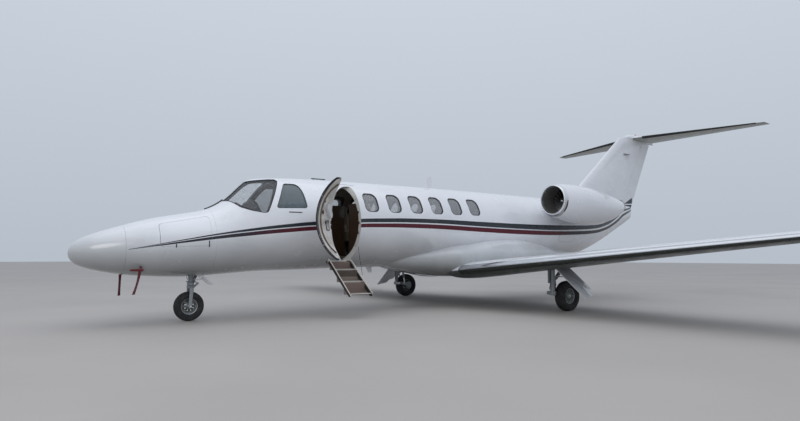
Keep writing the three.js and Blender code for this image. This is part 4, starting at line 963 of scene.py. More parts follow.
for side, word in SIDES:
    panes = Shape()
    sleeves = Shape()
    beads = Shape()
    for x in window_stations(side):
        panes.join(patch(window_outline(x, 0.5), 9, 15).on_side(side))
        seen = [(px - 6, pz - 5) for px, pz in window_outline(x, 14)]
        beads.join(collar(window_outline(x, 0.4), seen, 2, 8).on_side(side))
        # The sleeves are dark grey as painted shade of the window recesses.
        sleeves.join(collar(window_outline(x, 1), window_outline(x, 17), 24, 84).on_side(side))
        sleeves.join(collar(window_outline(x, -32), window_outline(x, 14), 76, 86).on_side(side))
    piece(f"cabin_windows_{word}_panes", panes, [CABIN_GLASS],
          replaces=[f"cabin_windows_{word}"])
    piece(f"cabin_window_{word}_trim", sleeves, [SLEEVE_SHADE])
    piece(f"cabin_window_{word}_beads", beads, [SEAL])


def cockpit_core(ends, inset):
    """Fine solid inside the cockpit's skin by inset."""
    return core(*ends, inset, 25, 72)


def cockpit_pane(outline, inner, material):
    """Glass with a black edge."""
    made = loose("pane", cockpit_core(COCKPIT_OUTER, 7), [material, SEAL])
    cut_by_shape(made, port_prism(outline, inner), 1, "INTERSECT")
    return cut_by_shape(made, cockpit_core(COCKPIT_INNER, 15))


def gasket(outline, inner):
    """Black strip round a cockpit window, a little proud of the skin."""
    made = loose("gasket", cockpit_core(COCKPIT_OUTER, -0.8), [SEAL])
    cut_by_shape(made, port_prism(shrunk(outline, -8), inner - 8), 0, "INTERSECT")
    cut_by_shape(made, port_prism(shrunk(outline, 1), inner))
    return cut_by_shape(made, cockpit_core(COCKPIT_INNER, 3))


cockpit_windows = (("windshield_{}", screen_outline, CENTRE_POST, SCREEN_GLASS),
                   ("side_window_{}", side_outline, 300, SIDE_GLASS))
for name, outline, inner, material in cockpit_windows:
    pair(cockpit_pane(outline, inner, material), name + "_pane", "airframe", [name])
for name, outline, inner, _ in cockpit_windows:
    pair(gasket(outline, inner), name + "_gasket", "airframe")


# Cabin door, made shut and then turned open

def swung(made):
    """Turns what was made on the shut door to where the open door is."""
    pin = place(DOOR["hinge_x"], DOOR["hinge_y"], 0)
    turn = Matrix.Rotation(math.radians(-DOOR_OPEN), 4, "Z")
    made.data.transform(Matrix.Translation(pin) @ turn @ Matrix.Translation(-pin))
    return made


door_leaf = leaf("cabin_door_skin", 3750, 4550, doorway(6), DOOR_SHELL, FRAME)
attach(swung(door_leaf), "cabin_door", ["cabin_door"])


# Tail of the fuselage

TAIL_WALL = 30
BAGGAGE = {"start": 9930, "end": 10560, "bottom": 1360, "top": 1790, "corner": 80}


def baggage_outline(gap):
    middle_x = (BAGGAGE["start"] + BAGGAGE["end"]) / 2
    middle_z = (BAGGAGE["bottom"] + BAGGAGE["top"]) / 2
    return rounded_outline(middle_x, middle_z, middle_x - BAGGAGE["start"] - gap,
                           middle_z - BAGGAGE["bottom"] - gap, BAGGAGE["corner"] - gap)


tail = hollowed("tail_section_skin", CABIN_END, BAY_END - SEAM,
                core(CABIN_END + 40, BAY_END + 20, TAIL_WALL), PRIMED)
cut_by_shape(tail, port_prism(baggage_outline(0)), PRIMED)
attach(tail, "airframe", ["tail_section"])
baggage_leaf = leaf("baggage_door_skin", 9850, 10650, port_prism(baggage_outline(4)), TAIL_WALL, PRIMED)
attach(baggage_leaf, "baggage_door", ["baggage_door"])
tail_cone = hollowed("tail_cone_skin", BAY_END, TAIL_END, core(BAY_END - 20, 13500, TAIL_WALL), PRIMED)
attach(tail_cone, "airframe", ["tail_cone"])


# Belly fairing, which runs out smoothly into the skin

BELLY = rows_of(
    "x bottom middle top half fillet",
    (5300, 860, 990, 1010, 300, 16), (5560, 775, 985, 1030, 440, 16), (5750, 735, 985, 1062, 520, 16),
    (6050, 684, 965, 1147, 640, 16), (6280, 650, 955, 1215, 715, 16), (6500, 622, 948, 1249, 805, 20),
    (6720, 603, 940, 1268, 922, 50), (7050, 590, 940, 1330, 948, 130), (7600, 585, 940, 1450, 950, 170),
    (8600, 600, 960, 1490, 930, 170), (9400, 668, 1000, 1390, 850, 150), (10100, 775, 1060, 1200, 690, 80),
    (10700, 915, 1120, 1180, 480, 40),
)
BELLY_EXPONENT = 2.6
UNDER_SKIN = 3  # depth of the fairing's hidden parts
BELLY_SINK = 40  # how far the fairing reaches under the fuselage's skin
BELLY_TURNS = 160
SEARCH = {"near": 300, "far": 1200, "step": 30.0}  # distances from the fuselage's middle


def belly_reach(x, waist, turn):
    """Distance of the fairing from the fuselage's middle in a direction; turn is 0 straight down."""
    row = {key: along(BELLY, x, key) for key in ("bottom", "middle", "top", "half")}

    def inside(distance):
        side = distance * math.sin(turn)
        rise = waist - distance * math.cos(turn) - row["middle"]
        reach = row["top"] - row["middle"] if rise > 0 else row["middle"] - row["bottom"]
        return abs(side / row["half"]) ** BELLY_EXPONENT + abs(rise / reach) ** BELLY_EXPONENT <= 1

    distance = SEARCH["far"]
    while distance > SEARCH["near"] and not inside(distance):
        distance -= SEARCH["step"]
    if distance <= SEARCH["near"]:
        return 0.0
    near, far = distance, distance + SEARCH["step"]
    for _ in range(14):
        half_way = (near + far) / 2
        near, far = (half_way, far) if inside(half_way) else (near, half_way)
    return near


def belly_limits(section, x, fillet):
    """Distances of skin and fairing in a direction, and the direction in which the fairing runs out."""

    def distances(turn):
        low = math.cos(turn)
        reach = section.drop if low > 0 else section.rise
        body = 1 / math.hypot(math.sin(turn) / section.half, low / reach)
        return body, belly_reach(x, section.waist, turn)

    def clear(turn):
        body, fairing = distances(turn)
        return body - UNDER_SKIN - fairing > fillet

    near = math.radians(6)
    far = math.radians(98)
    while far > near and clear(far):
        far -= math.radians(1)
    near, far = far, far + math.radians(1)
    for _ in range(12):
        middle = (near + far) / 2
        near, far = (near, middle) if clear(middle) else (middle, far)
    return distances, near


def belly_shape():
    """Rings whose points follow the edge of the fairing."""
    rings = []
    for x in stations(BELLY[0]["x"] + 2, BELLY[-1]["x"] - 2, SKIN_STEP):
        section = Section(x)
        fillet = along(BELLY, x, "fillet")
        distances, limit = belly_limits(section, x, fillet)
        outer, inner = [], []
        for i in range(BELLY_TURNS + 1):
            turn = limit * (2 * i / BELLY_TURNS - 1)
            body, fairing = distances(turn)
            hidden = body - UNDER_SKIN
            nearness = max(fillet - abs(hidden - fairing), 0) / fillet
            distance = max(hidden, fairing) + nearness ** 2 * fillet / 4
            across, down = math.sin(turn), math.cos(turn)
            outer.append((x, distance * across, section.waist - distance * down))
            inner.append((x, (body - BELLY_SINK) * across, section.waist - (body - BELLY_SINK) * down))
        rings.append(outer + inner[::-1])
    return Shape().grid(rings)


piece("belly_fairing_skin", belly_shape(), [BELLY_WHITE], replaces=["belly_fairing"])


# Wings

WING = {
    "root": 620, "lead_x": 6610, "lead_z": 738, "sweep": 0.0978, "dihedral": 0.0922, "chord": 2400,
    "taper": 0.2006, "datum": 900, "tip_round": 7980, "camber": 0.015,
}
HALF_SPAN = 8130
BARE_EDGE = {"start": 905, "chord_share": 0.05}  # polished leading edge


def airfoil(thickness, camber, steps=44):
    """Loop of (chord share, height share) from the upper trailing edge round the nose."""
    upper, lower = [], []
    for i in range(steps + 1):
        s = (1 - math.cos(math.pi * i / steps)) / 2
        half = 5 * thickness * (0.2969 * math.sqrt(s) - 0.126 * s - 0.3516 * s ** 2 + 0.2843 * s ** 3
                                - 0.1036 * s ** 4) + 0.003 * s
        line = 4 * camber * s * (1 - s)
        upper.append((s, line + half))
        if i > 0:
            lower.append((s, line - half))
    return upper[::-1] + lower


def wing_place(y):
    out = y - WING["datum"]
    share = max(0, out) / (HALF_SPAN - WING["datum"])
    return {
        "x": WING["lead_x"] + WING["sweep"] * out,
        "z": WING["lead_z"] + WING["dihedral"] * out,
        "chord": WING["chord"] - WING["taper"] * out,
        "thickness": 0.135 - 0.022 * share,
        "twist": math.radians(1 - 2.2 * share),
    }


def wing_ring(y):
    row = wing_place(min(y, WING["tip_round"]))
    past = max(0, y - WING["tip_round"]) / (HALF_SPAN - WING["tip_round"])
    slim = max(0.1, math.sqrt(1 - past ** 2))
    shift = past ** 2 * 22
    ring = []
    for s, h in airfoil(row["thickness"] * slim, WING["camber"]):
        aft = row["chord"] * s * (1 - 0.06 * past ** 2) + shift
        up = row["chord"] * h
        lift = (y - min(y, WING["tip_round"])) * WING["dihedral"]
        ring.append((row["x"] + aft * math.cos(row["twist"]) + up * math.sin(row["twist"]), -y,
                     row["z"] + lift - aft * math.sin(row["twist"]) + up * math.cos(row["twist"])))
    return ring


BLOCK_HALF = 400  # half height of a cutting block
NOSE_GAP = 7
END_GAP = 7
LIP_GAP = 20


def edge_paint(loop, share, bare, low_edge, low):
    """Paints of an airfoil: 0 above and low below, but 1 and low_edge at the nose where bare(ring)."""
    nose = len(loop) // 2

    def number(i, j):
        s = max(loop[j][0], loop[(j + 1) % len(loop)][0])
        if bare(i) and s <= share:
            return low_edge if j >= nose else 1
        return low if j >= nose and j < len(loop) - 1 else 0
    return number


def hinge_block(a, b, end, near, far):
    """Block along the hinge from a to b, lengthened by end, between two distances aft of it."""
    span = b - a
    out = span.normalized()
    aft = (Vector((1, 0, 0)) - out * out.x).normalized()
    up = out.cross(aft)
    corners = ((near, -BLOCK_HALF), (far, -BLOCK_HALF), (far, BLOCK_HALF), (near, BLOCK_HALF))
    return Shape().grid([[tuple(a + out * u + aft * v + up * w) for v, w in corners]
                         for u in (-end, span.length + end)])


def parted(name, whole, moving_block, fixed_block, a, b, radius_a, radius_b):
    """Parts a hinged surface with a round nose from the whole. Returns the moving piece and the fixed one."""
    moving = linked(name, whole.data.copy())
    cut_by_shape(moving, moving_block, 0, "INTERSECT")
    cut_by_shape(moving, Shape().bar(a, b, radius_a, radius_b, 40), 0, "UNION")
    out = (b - a).normalized()
    cut_by_shape(whole, fixed_block)
    room = Shape().bar(a - out * END_GAP, b + out * END_GAP, radius_a + NOSE_GAP, radius_b + NOSE_GAP, 40)
    return moving, cut_by_shape(whole, room)


def airfoil_heights(thickness, camber, share):
    """Heights of an airfoil's upper and lower side at a share of its chord."""
    loop = airfoil(thickness, camber, 120)
    nose = len(loop) // 2
    return [min(half, key=lambda point: abs(point[0] - share))[1] for half in (loop[:nose + 1], loop[nose:])]


def wing_hinge(y, share):
    """Middle of the wing at a share of its chord, and the nose radius of what is hinged there."""
    row = wing_place(y)
    top, low = (height * row["chord"] for height in airfoil_heights(row["thickness"], WING["camber"], share))
    aft, middle = row["chord"] * share, (top + low) / 2
    point = Vector((row["x"] + aft * math.cos(row["twist"]) + middle * math.sin(row["twist"]), -y,
                    row["z"] - aft * math.sin(row["twist"]) + middle * math.cos(row["twist"])))
    return point, (top - low) / 2 - 1.5


FLAP = {"start": 1080, "end": 5480, "share": 0.745}
AILERON = {"start": 5530, "end": 7700, "share": 0.745}

TIP_DEPTH = HALF_SPAN - WING["tip_round"]
wing_sides = [WING["root"]] + [BARE_EDGE["start"] + 170 * i for i in range(40)]
wing_sides += [WING["tip_round"] + TIP_DEPTH * math.sin(math.pi / 2 * k / 8) for k in range(9)]
# Below, the wing gets dark metal at the nose and dark grey behind it, both painted shade of the underside.
wing_paints = edge_paint(airfoil(0.12, WING["camber"]), BARE_EDGE["chord_share"], lambda i: i >= 1, 2, 3)
whole_wing = Shape().grid([wing_ring(y) for y in wing_sides], wing_paints)
wing = loose("wing", whole_wing, [PLAIN_WHITE, POLISHED, LOWER_EDGE_SHADE_METAL, UNDERSIDE_SHADE_GREY])
for row, name in ((FLAP, "flap_{}"), (AILERON, "aileron_{}")):
    (hinge_a, size_a), (hinge_b, size_b) = (wing_hinge(row[key], row["share"]) for key in ("start", "end"))
    moving, wing = parted(name, wing, hinge_block(hinge_a, hinge_b, 0, 0, 900),
                          hinge_block(hinge_a, hinge_b, END_GAP, -LIP_GAP, 900),
                          hinge_a, hinge_b, size_a, size_b)
    pair(moving, name + "_skin", name, [name])
pair(wing, "wing_{}_skin", "airframe", ["wing_{}"])


# Fin and rudder

FIN = {
    "root_z": 2220, "root_lead": 10960, "root_trail": 14145,
    "top_z": 4440, "top_lead": 13745, "top_trail": 15370,
}
RUDDER = (Vector((13770, 0, 2525)), Vector((14905, 0, 4400)))
RUDDER_FLOOR = 2512
RUDDER_ROOM = {"foot": 26, "head": 16}


def fin_place(z):
    """Stations of the leading and trailing edge at a height, and the thickness."""
    share = (z - FIN["root_z"]) / (FIN["top_z"] - FIN["root_z"])
    lead = FIN["root_lead"] + (FIN["top_lead"] - FIN["root_lead"]) * share
    trail = FIN["root_trail"] + (FIN["top_trail"] - FIN["root_trail"]) * share
    return lead, trail, 0.09 + 0.005 * share


def fin_ring(z):
    lead, trail, thickness = fin_place(z)
    chord = trail - lead
    return [(lead + s * chord, h * chord, z) for s, h in airfoil(thickness, 0)]


def fin_half(spot):
    """Half thickness of the fin at a spot."""
    lead, trail, thickness = fin_place(spot.z)
    return airfoil_heights(thickness, 0, (spot.x - lead) / (trail - lead))[0] * (trail - lead)


def rudder_block(foot, head):
    low, high = RUDDER
    outline = [(low.x, low.z - foot), (14700, low.z - foot + 60), (15700, high.z + head),
               (high.x, high.z + head)]
    return side_prism(outline, -400, 400)


fin_levels = [FIN["root_z"] + (FIN["top_z"] - FIN["root_z"]) * i / 16 for i in range(17)]
fin_whole = loose("fin_skin", Shape().grid([fin_ring(z) for z in fin_levels], 0), [PLAIN_WHITE, NAVY])
rudder_room = rudder_block(RUDDER_ROOM["foot"], RUDDER_ROOM["head"])
rudder_radii = [fin_half(end) - 3 for end in RUDDER]
rudder, fin = parted("rudder_skin", fin_whole, rudder_block(0, 0), rudder_room, *RUDDER, *rudder_radii)
cut_by_shape(rudder, Shape().block((13000, 15800), (-300, 300), (2000, RUDDER_FLOOR)))
FOOT_PATCH = [(13690, 2430), (14020, 2330), (14330, 2330), (14330, 2740), (14208, 2686), (13731, 2480)]
FILM = 0.0012  # metres


def painted_patch(name, under, outline):
    """Navy film over the part of a surface that lies within an outline seen from the side."""
    made = linked(name, under.data.copy())
    cut_by_shape(made, side_prism(outline, -400, 400), 0, "INTERSECT")
    for vertex in made.data.vertices:
        vertex.co.y += math.copysign(FILM, vertex.co.y)
    made.data.materials.clear()
    made.data.materials.append(NAVY)
    return made


attach(painted_patch("rudder_foot_film", rudder, FOOT_PATCH), "rudder")
attach(painted_patch("fin_foot_film", fin, FOOT_PATCH), "airframe")
attach(rudder, "rudder", ["rudder"])
attach(fin, "airframe", ["fin"])


def fin_streak(x, z, length, out, drop):
    """Small grey blade that stands out of the side of the fin."""
    root = -fin_half(Vector((x + length / 2, 0, z))) + 4
    rings = []
    for k in range(5):
        share = k / 4
        lead, chord = x + length * 0.3 * share, length * (1 - 0.55 * share)
        rings.append([(lead + s * chord, root - out * share, z - drop * share + h * chord * 0.7)
                      for s, h in airfoil(0.10, 0, 10)])
    return Shape().grid(rings)


for name, *sizes in (("fin_antenna_{}", 13780, 3975, 330, 110, 25),
                     ("fin_hinge_cover_{}", 14700, 4290, 180, 22, 10)):
    pair(loose("streak", fin_streak(*sizes), [GREY_PAINT]), name, "airframe")


# Tailplane

TAIL = {
    "z": 4490, "root": 120, "tip": 3200, "root_lead": 14310, "root_trail": 15500, "tip_lead": 15200,
    "tip_trail": 15590, "thickness": 0.1, "round": 45,
}
ELEVATOR = {"start": 190, "end": 3120, "share": 0.68}
BOOT_SPAN = {"start": 330, "end": 3020, "steps": 18, "chord_share": 0.09}


def tail_place(y):
    """Stations of the tailplane's leading and trailing edge at a side distance."""
    share = (y - TAIL["root"]) / (TAIL["tip"] - TAIL["root"])
    lead = TAIL["root_lead"] + (TAIL["tip_lead"] - TAIL["root_lead"]) * share
    return lead, TAIL["root_trail"] + (TAIL["tip_trail"] - TAIL["root_trail"]) * share


def tail_ring(y):
    lead, trail = tail_place(abs(y))
    past = max(0, abs(y) - (TAIL["tip"] - TAIL["round"])) / TAIL["round"]
    slim = max(0.12, math.sqrt(1 - past ** 2))
    chord = trail - lead
    return [(lead + s * chord + past ** 2 * 12 * (1 - s), y, TAIL["z"] + h * chord * slim)
            for s, h in airfoil(TAIL["thickness"], 0)]


def tail_hinge(y):
    lead, trail = tail_place(y)
    half = airfoil_heights(TAIL["thickness"], 0, ELEVATOR["share"])[0] * (trail - lead)
    return Vector((lead + ELEVATOR["share"] * (trail - lead), -y, TAIL["z"])), half - 1


tip_sides = [TAIL["tip"] - TAIL["round"] * (1 - math.sin(math.pi / 2 * k / 6)) for k in range(7)]
boot_sides = [BOOT_SPAN["start"] + (BOOT_SPAN["end"] - BOOT_SPAN["start"]) * k / BOOT_SPAN["steps"]
              for k in range(BOOT_SPAN["steps"] + 1)]
inner_sides = [0, TAIL["root"]]
# Below, the tailplane gets the grey-olive painted shade.
tail_paints = edge_paint(airfoil(TAIL["thickness"], 0), BOOT_SPAN["chord_share"],
                         lambda i: 0 <= i - len(inner_sides) < BOOT_SPAN["steps"], 1, 2)
half_tail = Shape().grid([tail_ring(-y) for y in inner_sides + boot_sides + tip_sides], tail_paints)
tailplane = loose("stabilizer", half_tail, [PLAIN_WHITE, BOOT, TAIL_UNDER_SHADE])
(hinge_a, size_a), (hinge_b, size_b) = (tail_hinge(ELEVATOR[key]) for key in ("start", "end"))
elevator, tailplane = parted("elevator", tailplane, hinge_block(hinge_a, hinge_b, 0, 0, 700),
                             hinge_block(hinge_a, hinge_b, END_GAP, 0, 700),
                             hinge_a, hinge_b, size_a, size_b)
pair(elevator, "elevator_{}_skin", "elevator_{}", ["elevator_{}"])
twin = mirrored_copy(tailplane, "twin")
tailplane.name = "stabilizer_left_skin"
attach(tailplane, "airframe", ["stabilizer"])
twin.name = "stabilizer_right_skin"
attach(twin, "airframe")

BULLET = rows_of(
    "x half top",
    (14050, 30, 20), (14100, 58, 55), (14250, 95, 100), (14700, 110, 130), (15200, 90, 105), (15450, 50, 62),
    (15560, 16, 22),
)
BULLET_DROP = 60


def bullet_ring(x):
    half, top = along(BULLET, x, "half"), along(BULLET, x, "top")
    ring = []
    for turn in turns_round(40):
        lift = math.cos(turn)
        ring.append((x, half * math.sin(turn), TAIL["z"] + (top if lift > 0 else BULLET_DROP) * lift))
    return ring


bullet_start, bullet_end = BULLET[0]["x"], BULLET[-1]["x"]
bullet_rings = [bullet_ring(bullet_start + (bullet_end - bullet_start) * (k / 40) ** 1.3) for k in range(41)]
piece("tail_fairing_skin", Shape().grid(bullet_rings), [PLAIN_WHITE])


# Engines

ENGINE = {"y": 1310, "z": 2235, "fan": 9430}
NACELLE = rows_of(
    "x bottom top half",
    (9160, 1845, 2595, 365), (9600, 1765, 2610, 408), (10100, 1745, 2590, 415), (10600, 1770, 2535, 385),
    (11100, 1870, 2452, 300), (11540, 2040, 2372, 172),
)
NACELLE_SIDES = 96
LIP = {"x": 9000, "half": 310, "bottom": 1925, "top": 2545, "throat": 282, "deep": 90}
NACELLE_STEPS = 50
LIP_METAL_END = 9110
NOZZLE_RIM = 11500


def nacelle_ring(x, half, bottom, top):
    middle = (bottom + top) / 2
    return [(x, -ENGINE["y"] + half * math.sin(turn), middle + (top - bottom) / 2 * math.cos(turn))
            for turn in turns_round(NACELLE_SIDES)]


def lip_sizes(share):
    """Half width, bottom and top of the inlet's lip, from its front at 0 to the nacelle at 1."""
    return [LIP[key] + (NACELLE[0][key] - LIP[key]) * share for key in ("half", "bottom", "top")]


def duct_ring(x, radius):
    return nacelle_ring(x, radius, ENGINE["z"] - radius, ENGINE["z"] + radius)


nacelle_rings = []
nacelle_paints = []
for k in range(NACELLE_STEPS + 1):
    x = NACELLE[-1]["x"] - (NACELLE[-1]["x"] - NACELLE[0]["x"]) * k / NACELLE_STEPS
    nacelle_rings.append(nacelle_ring(x, *(along(NACELLE, x, key) for key in ("half", "bottom", "top"))))
    nacelle_paints.append(2 if x > NOZZLE_RIM else 0)
for k in range(1, 15):
    t = 1 - k / 14
    x = LIP["x"] + (NACELLE[0]["x"] - LIP["x"]) * t ** 2
    nacelle_rings.append(nacelle_ring(x, *lip_sizes(t)))
    nacelle_paints.append(1 if x < LIP_METAL_END else 0)
for k in range(1, 9):
    t = k / 8
    radius = LIP["half"] - (LIP["half"] - LIP["throat"]) * t
    nacelle_rings.append(duct_ring(LIP["x"] + LIP["deep"] * t ** 2, radius))
    nacelle_paints.append(1 if t < 0.85 else 3)
for radius, x in ((278, 9200), (276, 9560), (300, 9620), (300, 10500), (160, 11480), (160, 11536)):
    nacelle_rings.append(duct_ring(x, radius))
    nacelle_paints.append(3)
nacelle_rings.append(nacelle_rings[0])
nacelle = Shape().grid(nacelle_rings, lambda i, j: nacelle_paints[i], True, (False, False))
pair(loose("nacelle", nacelle, [PLAIN_WHITE, SATIN, TITANIUM, DUCT_GREY]), "nacelle_{}_skin", "airframe",
     ["nacelle_{}"])


def nacelle_mark(x, first, last, width):
    """Black arc behind the lip, between two turns from the top, in degrees: the slot there, with painted
    shade and painted reflection of the lip.
    """
    t = math.sqrt((x - LIP["x"]) / (NACELLE[0]["x"] - LIP["x"]))
    half, bottom, top = lip_sizes(t)
    rings = []
    for k in range(17):
        share = k / 16
        turn = math.radians(first + (last - first) * share)
        wide = width * math.sqrt(max(0.02, 1 - (2 * share - 1) ** 2)) / 2
        ring = []
        for shift, out in ((-wide, 1.5), (wide, 6), (wide, -8), (-wide, -12)):
            ring.append((x + shift, -ENGINE["y"] + (half + out) * math.sin(turn),
                         (bottom + top) / 2 + ((top - bottom) / 2 + out) * math.cos(turn)))
        rings.append(ring)
    return Shape().grid(rings)


# Black arcs behind the lip: slots, with painted shade and painted reflection of the lip.
lip_slots_and_shade = nacelle_mark(9082, 222, 268, 34).join(nacelle_mark(9034, 168, 204, 20))
pair(loose("marks", lip_slots_and_shade, [SEAL]), "nacelle_{}_vents", "airframe")


PYLON_ROOT = 420


def pylon_ring(share):
    y = -PYLON_ROOT - (ENGINE["y"] - PYLON_ROOT) * share
    lead, trail, z = 9450 + 250 * share, 11900 - 400 * share, 2110 + 90 * share
    return [(lead + s * (trail - lead), y, z + h * (trail - lead)) for s, h in airfoil(0.085, 0, 36)]


pair(loose("pylon", Shape().grid([pylon_ring(k / 10) for k in range(11)], 0), [PLAIN_WHITE]), "pylon_{}_skin",
     "airframe", ["pylon_{}"])

FAN = {"tip": 266, "hub": 92, "blades": 20}
BLADE_SECTION = ((-0.5, 0), (-0.3, 0.7), (0, 1), (0.3, 0.7), (0.5, 0), (0.3, -0.5), (0, -0.8), (-0.3, -0.5))


def fan_shape():
    centre = (ENGINE["fan"], -ENGINE["y"], ENGINE["z"])
    spinner = [(2, -128), (22, -118), (48, -92), (72, -52), (88, -16), (FAN["hub"], 10), (FAN["hub"], 48),
               (2, 48)]
    made = Shape().turned(spinner, centre, (1, 0, 0), 48, 0)
    for blade in range(FAN["blades"]):
        turn = 2 * math.pi * blade / FAN["blades"]
        rings = []
        for k in range(9):
            share = k / 8
            radius = FAN["hub"] - 8 + (FAN["tip"] - FAN["hub"] + 8) * share
            pitch = math.radians(28 + 34 * share)
            chord = 64 + 26 * share
            thick = 6.5 - 4 * share
            ring = []
            for u, w in BLADE_SECTION:
                aft = chord * u * math.cos(pitch) - thick / 2 * w * math.sin(pitch)
                sweep = chord * u * math.sin(pitch) + thick / 2 * w * math.cos(pitch)
                angle = turn + sweep / radius
                ring.append((centre[0] + aft, centre[1] + radius * math.sin(angle),
                             centre[2] + radius * math.cos(angle)))
            rings.append(ring)
        made.grid(rings, 1)
    return made


pair(loose("fan", fan_shape(), [STEEL, SATIN], 50), "fan_{}_wheel", "fan_{}", ["fan_{}"])
dress(TITANIUM, "engine_left", "engine_right")


# Wheels

def tyre_profile(radius, half, rim, grooves):
    """Section of a tyre as (radius, side), with grooves at shares of the half width."""
    height = radius - rim
    crown = []
    for share in (-0.66, -0.5, -0.36, -0.2, 0, 0.2, 0.36, 0.5, 0.66):
        crown.append((radius - 0.07 * height * (share / 0.66) ** 2, share * half))
    for groove in grooves:
        drop = 0.07 * height * (groove / 0.66) ** 2
        for offset, depth in ((-0.045, 0), (-0.03, 7), (0.03, 7), (0.045, 0)):
            crown.append((radius - drop - depth, (groove + offset) * half))
    crown = [spot for spot in crown
             if spot[0] < radius - 6 or all(abs(spot[1] / half - groove) > 0.04 for groove in grooves)]
    crown.sort(key=lambda spot: spot[1])
    side = [(0.80, 0.90), (0.91, 0.80), (0.975, 0.67), (1.0, 0.52), (0.985, 0.38), (0.93, 0.24), (0.80, 0.10),
            (0.62, 0)]
    right = [(rim + share * height, wide * half) for wide, share in side]
    left = [(r, -y) for r, y in reversed(right)]
    return left + crown + right


def rim_profile(half, rim, dish):
    """Section of a wheel as (radius, side). Its outer web is set in by dish."""
    web = -half * (1 - dish)
    return [
        (16, web - 12), (40, web - 12), (46, web - 4), (50, web), (rim - 42, web + 6), (rim - 22, web - 4),
        (rim - 12, -half * 0.52), (rim - 4, -half * 0.62), (rim + 5, -half * 0.64), (rim + 5, -half * 0.58),
        (rim - 1, -half * 0.50), (rim - 1, half * 0.50), (rim + 5, half * 0.58), (rim + 5, half * 0.64),
        (rim - 4, half * 0.62), (rim - 14, half * 0.48), (rim - 26, web + 24), (50, web + 16),
        (46, half * 0.3), (16, half * 0.3),
    ]


def web_paint(segment, _):
    """The web between hub and rim is darker than the lip, as painted shade in the dished recess."""
    return 1 if segment in (3, 4, 5, 16, 17) else 0


BOLT = [(0, 8), (5, 8), (6, 6), (6, 0), (9, 0), (9, -3), (0, -3)]


def wheel(prefix, suffix, body, row, y, out):
    """Tyre, rim, bolts and cap. out is the side that the dished face looks to."""
    radius, half, rim, grooves, holes = (row[key] for key in ("radius", "half", "rim", "grooves", "holes"))
    centre = (row["x"], y, radius)
    tyre = Shape().turned(tyre_profile(radius, half, rim, grooves), centre, (0, 1, 0), 96, 0, True)
    piece(f"{prefix}_tyre{suffix}_rubber", tyre, [TYRE], body, [f"{prefix}_tyre{suffix}"], 50)
    disc = loose(f"{prefix}_rim{suffix}_disc",
                 Shape().turned(rim_profile(half, rim, 0.55), centre, (0, -out, 0), 72, web_paint, True),
                 [CAST, WHEEL_WEB_SHADE], 40)
    drills = Shape()
    ring = (rim - 42 + 50) / 2
    for k in range(holes):
        turn = 2 * math.pi * (k + 0.5) / holes
        spot = Vector((centre[0] + ring * math.cos(turn), centre[1], centre[2] + ring * math.sin(turn)))
        drills.bar(spot - Vector((0, 200, 0)), spot + Vector((0, 200, 0)), 11, 11, 16)
    cut_by_shape(disc, drills)
    attach(disc, body, [f"{prefix}_rim{suffix}"])
    face = centre[1] + out * half * 0.45
    bolts = Shape()
    for k in range(holes):
        turn = 2 * math.pi * k / holes
        spot = (centre[0] + (rim - 30) * math.cos(turn), face, centre[2] + (rim - 30) * math.sin(turn))
        bolts.turned(BOLT, spot, (0, out, 0), 10)
    cap = [(0, 26), (14, 24), (24, 18), (30, 8), (32, -4), (32, -16), (0, -16)]
    bolts.turned(cap, (centre[0], face + out * 8, centre[2]), (0, out, 0), 32)
    piece(f"{prefix}_hub{suffix}_cap", bolts, [STEEL], body)


NOSE_WHEEL = {"x": 1780, "radius": 229, "half": 56, "rim": 125, "grooves": (-0.3, 0.3), "holes": 8}
MAIN_WHEEL = {
    "x": 7900, "y": 2480, "radius": 280, "half": 95, "rim": 140, "grooves": (-0.45, -0.15, 0.15, 0.45),
    "holes": 9,
}
wheel("nose", "", "nose_wheel", NOSE_WHEEL, 0, PORT)
for side, word in SIDES:
    wheel("main", f"_{word}", f"main_wheel_{word}", MAIN_WHEEL, side * MAIN_WHEEL["y"], side)


# Nose gear

NOSE_LEG = 1800  # its station


def curved_bar(points, radius, sides=14, steps=10, paint=0):
    """Tube through points, rounded between them."""
    spots = [Vector(point) for point in points]
    path = []
    for i in range(len(spots) - 1):
        before = spots[max(i - 1, 0)]
        after = spots[min(i + 2, len(spots) - 1)]
        for k in range(steps):
            t = k / steps
            a, b = spots[i], spots[i + 1]
            path.append(0.5 * ((2 * a) + (b - before) * t + (2 * before - 5 * a + 4 * b - after) * t ** 2
                               + (3 * a - before - 3 * b + after) * t ** 3))
    path.append(spots[-1])
    return Shape().tube(path, radius, sides, paint)


def link(a, b, wide_a, wide_b, thick):
    """Flat tapered arm from a to b across the craft, with rounded ends."""
    start, end = Vector(a), Vector(b)
    out = (end - start).normalized()
    across = out.cross(Vector((0, 1, 0))).normalized()
    outline = []
    for spot, wide, first in ((start, wide_a, math.pi / 2), (end, wide_b, -math.pi / 2)):
        for k in range(9):
            turn = first + math.pi * k / 8
            outline.append(spot + wide * (out * math.cos(turn) + across * math.sin(turn)))
    rings = [[tuple(spot + Vector((0, shift, 0))) for spot in outline] for shift in (-thick / 2, thick / 2)]
    return Shape().grid(rings)


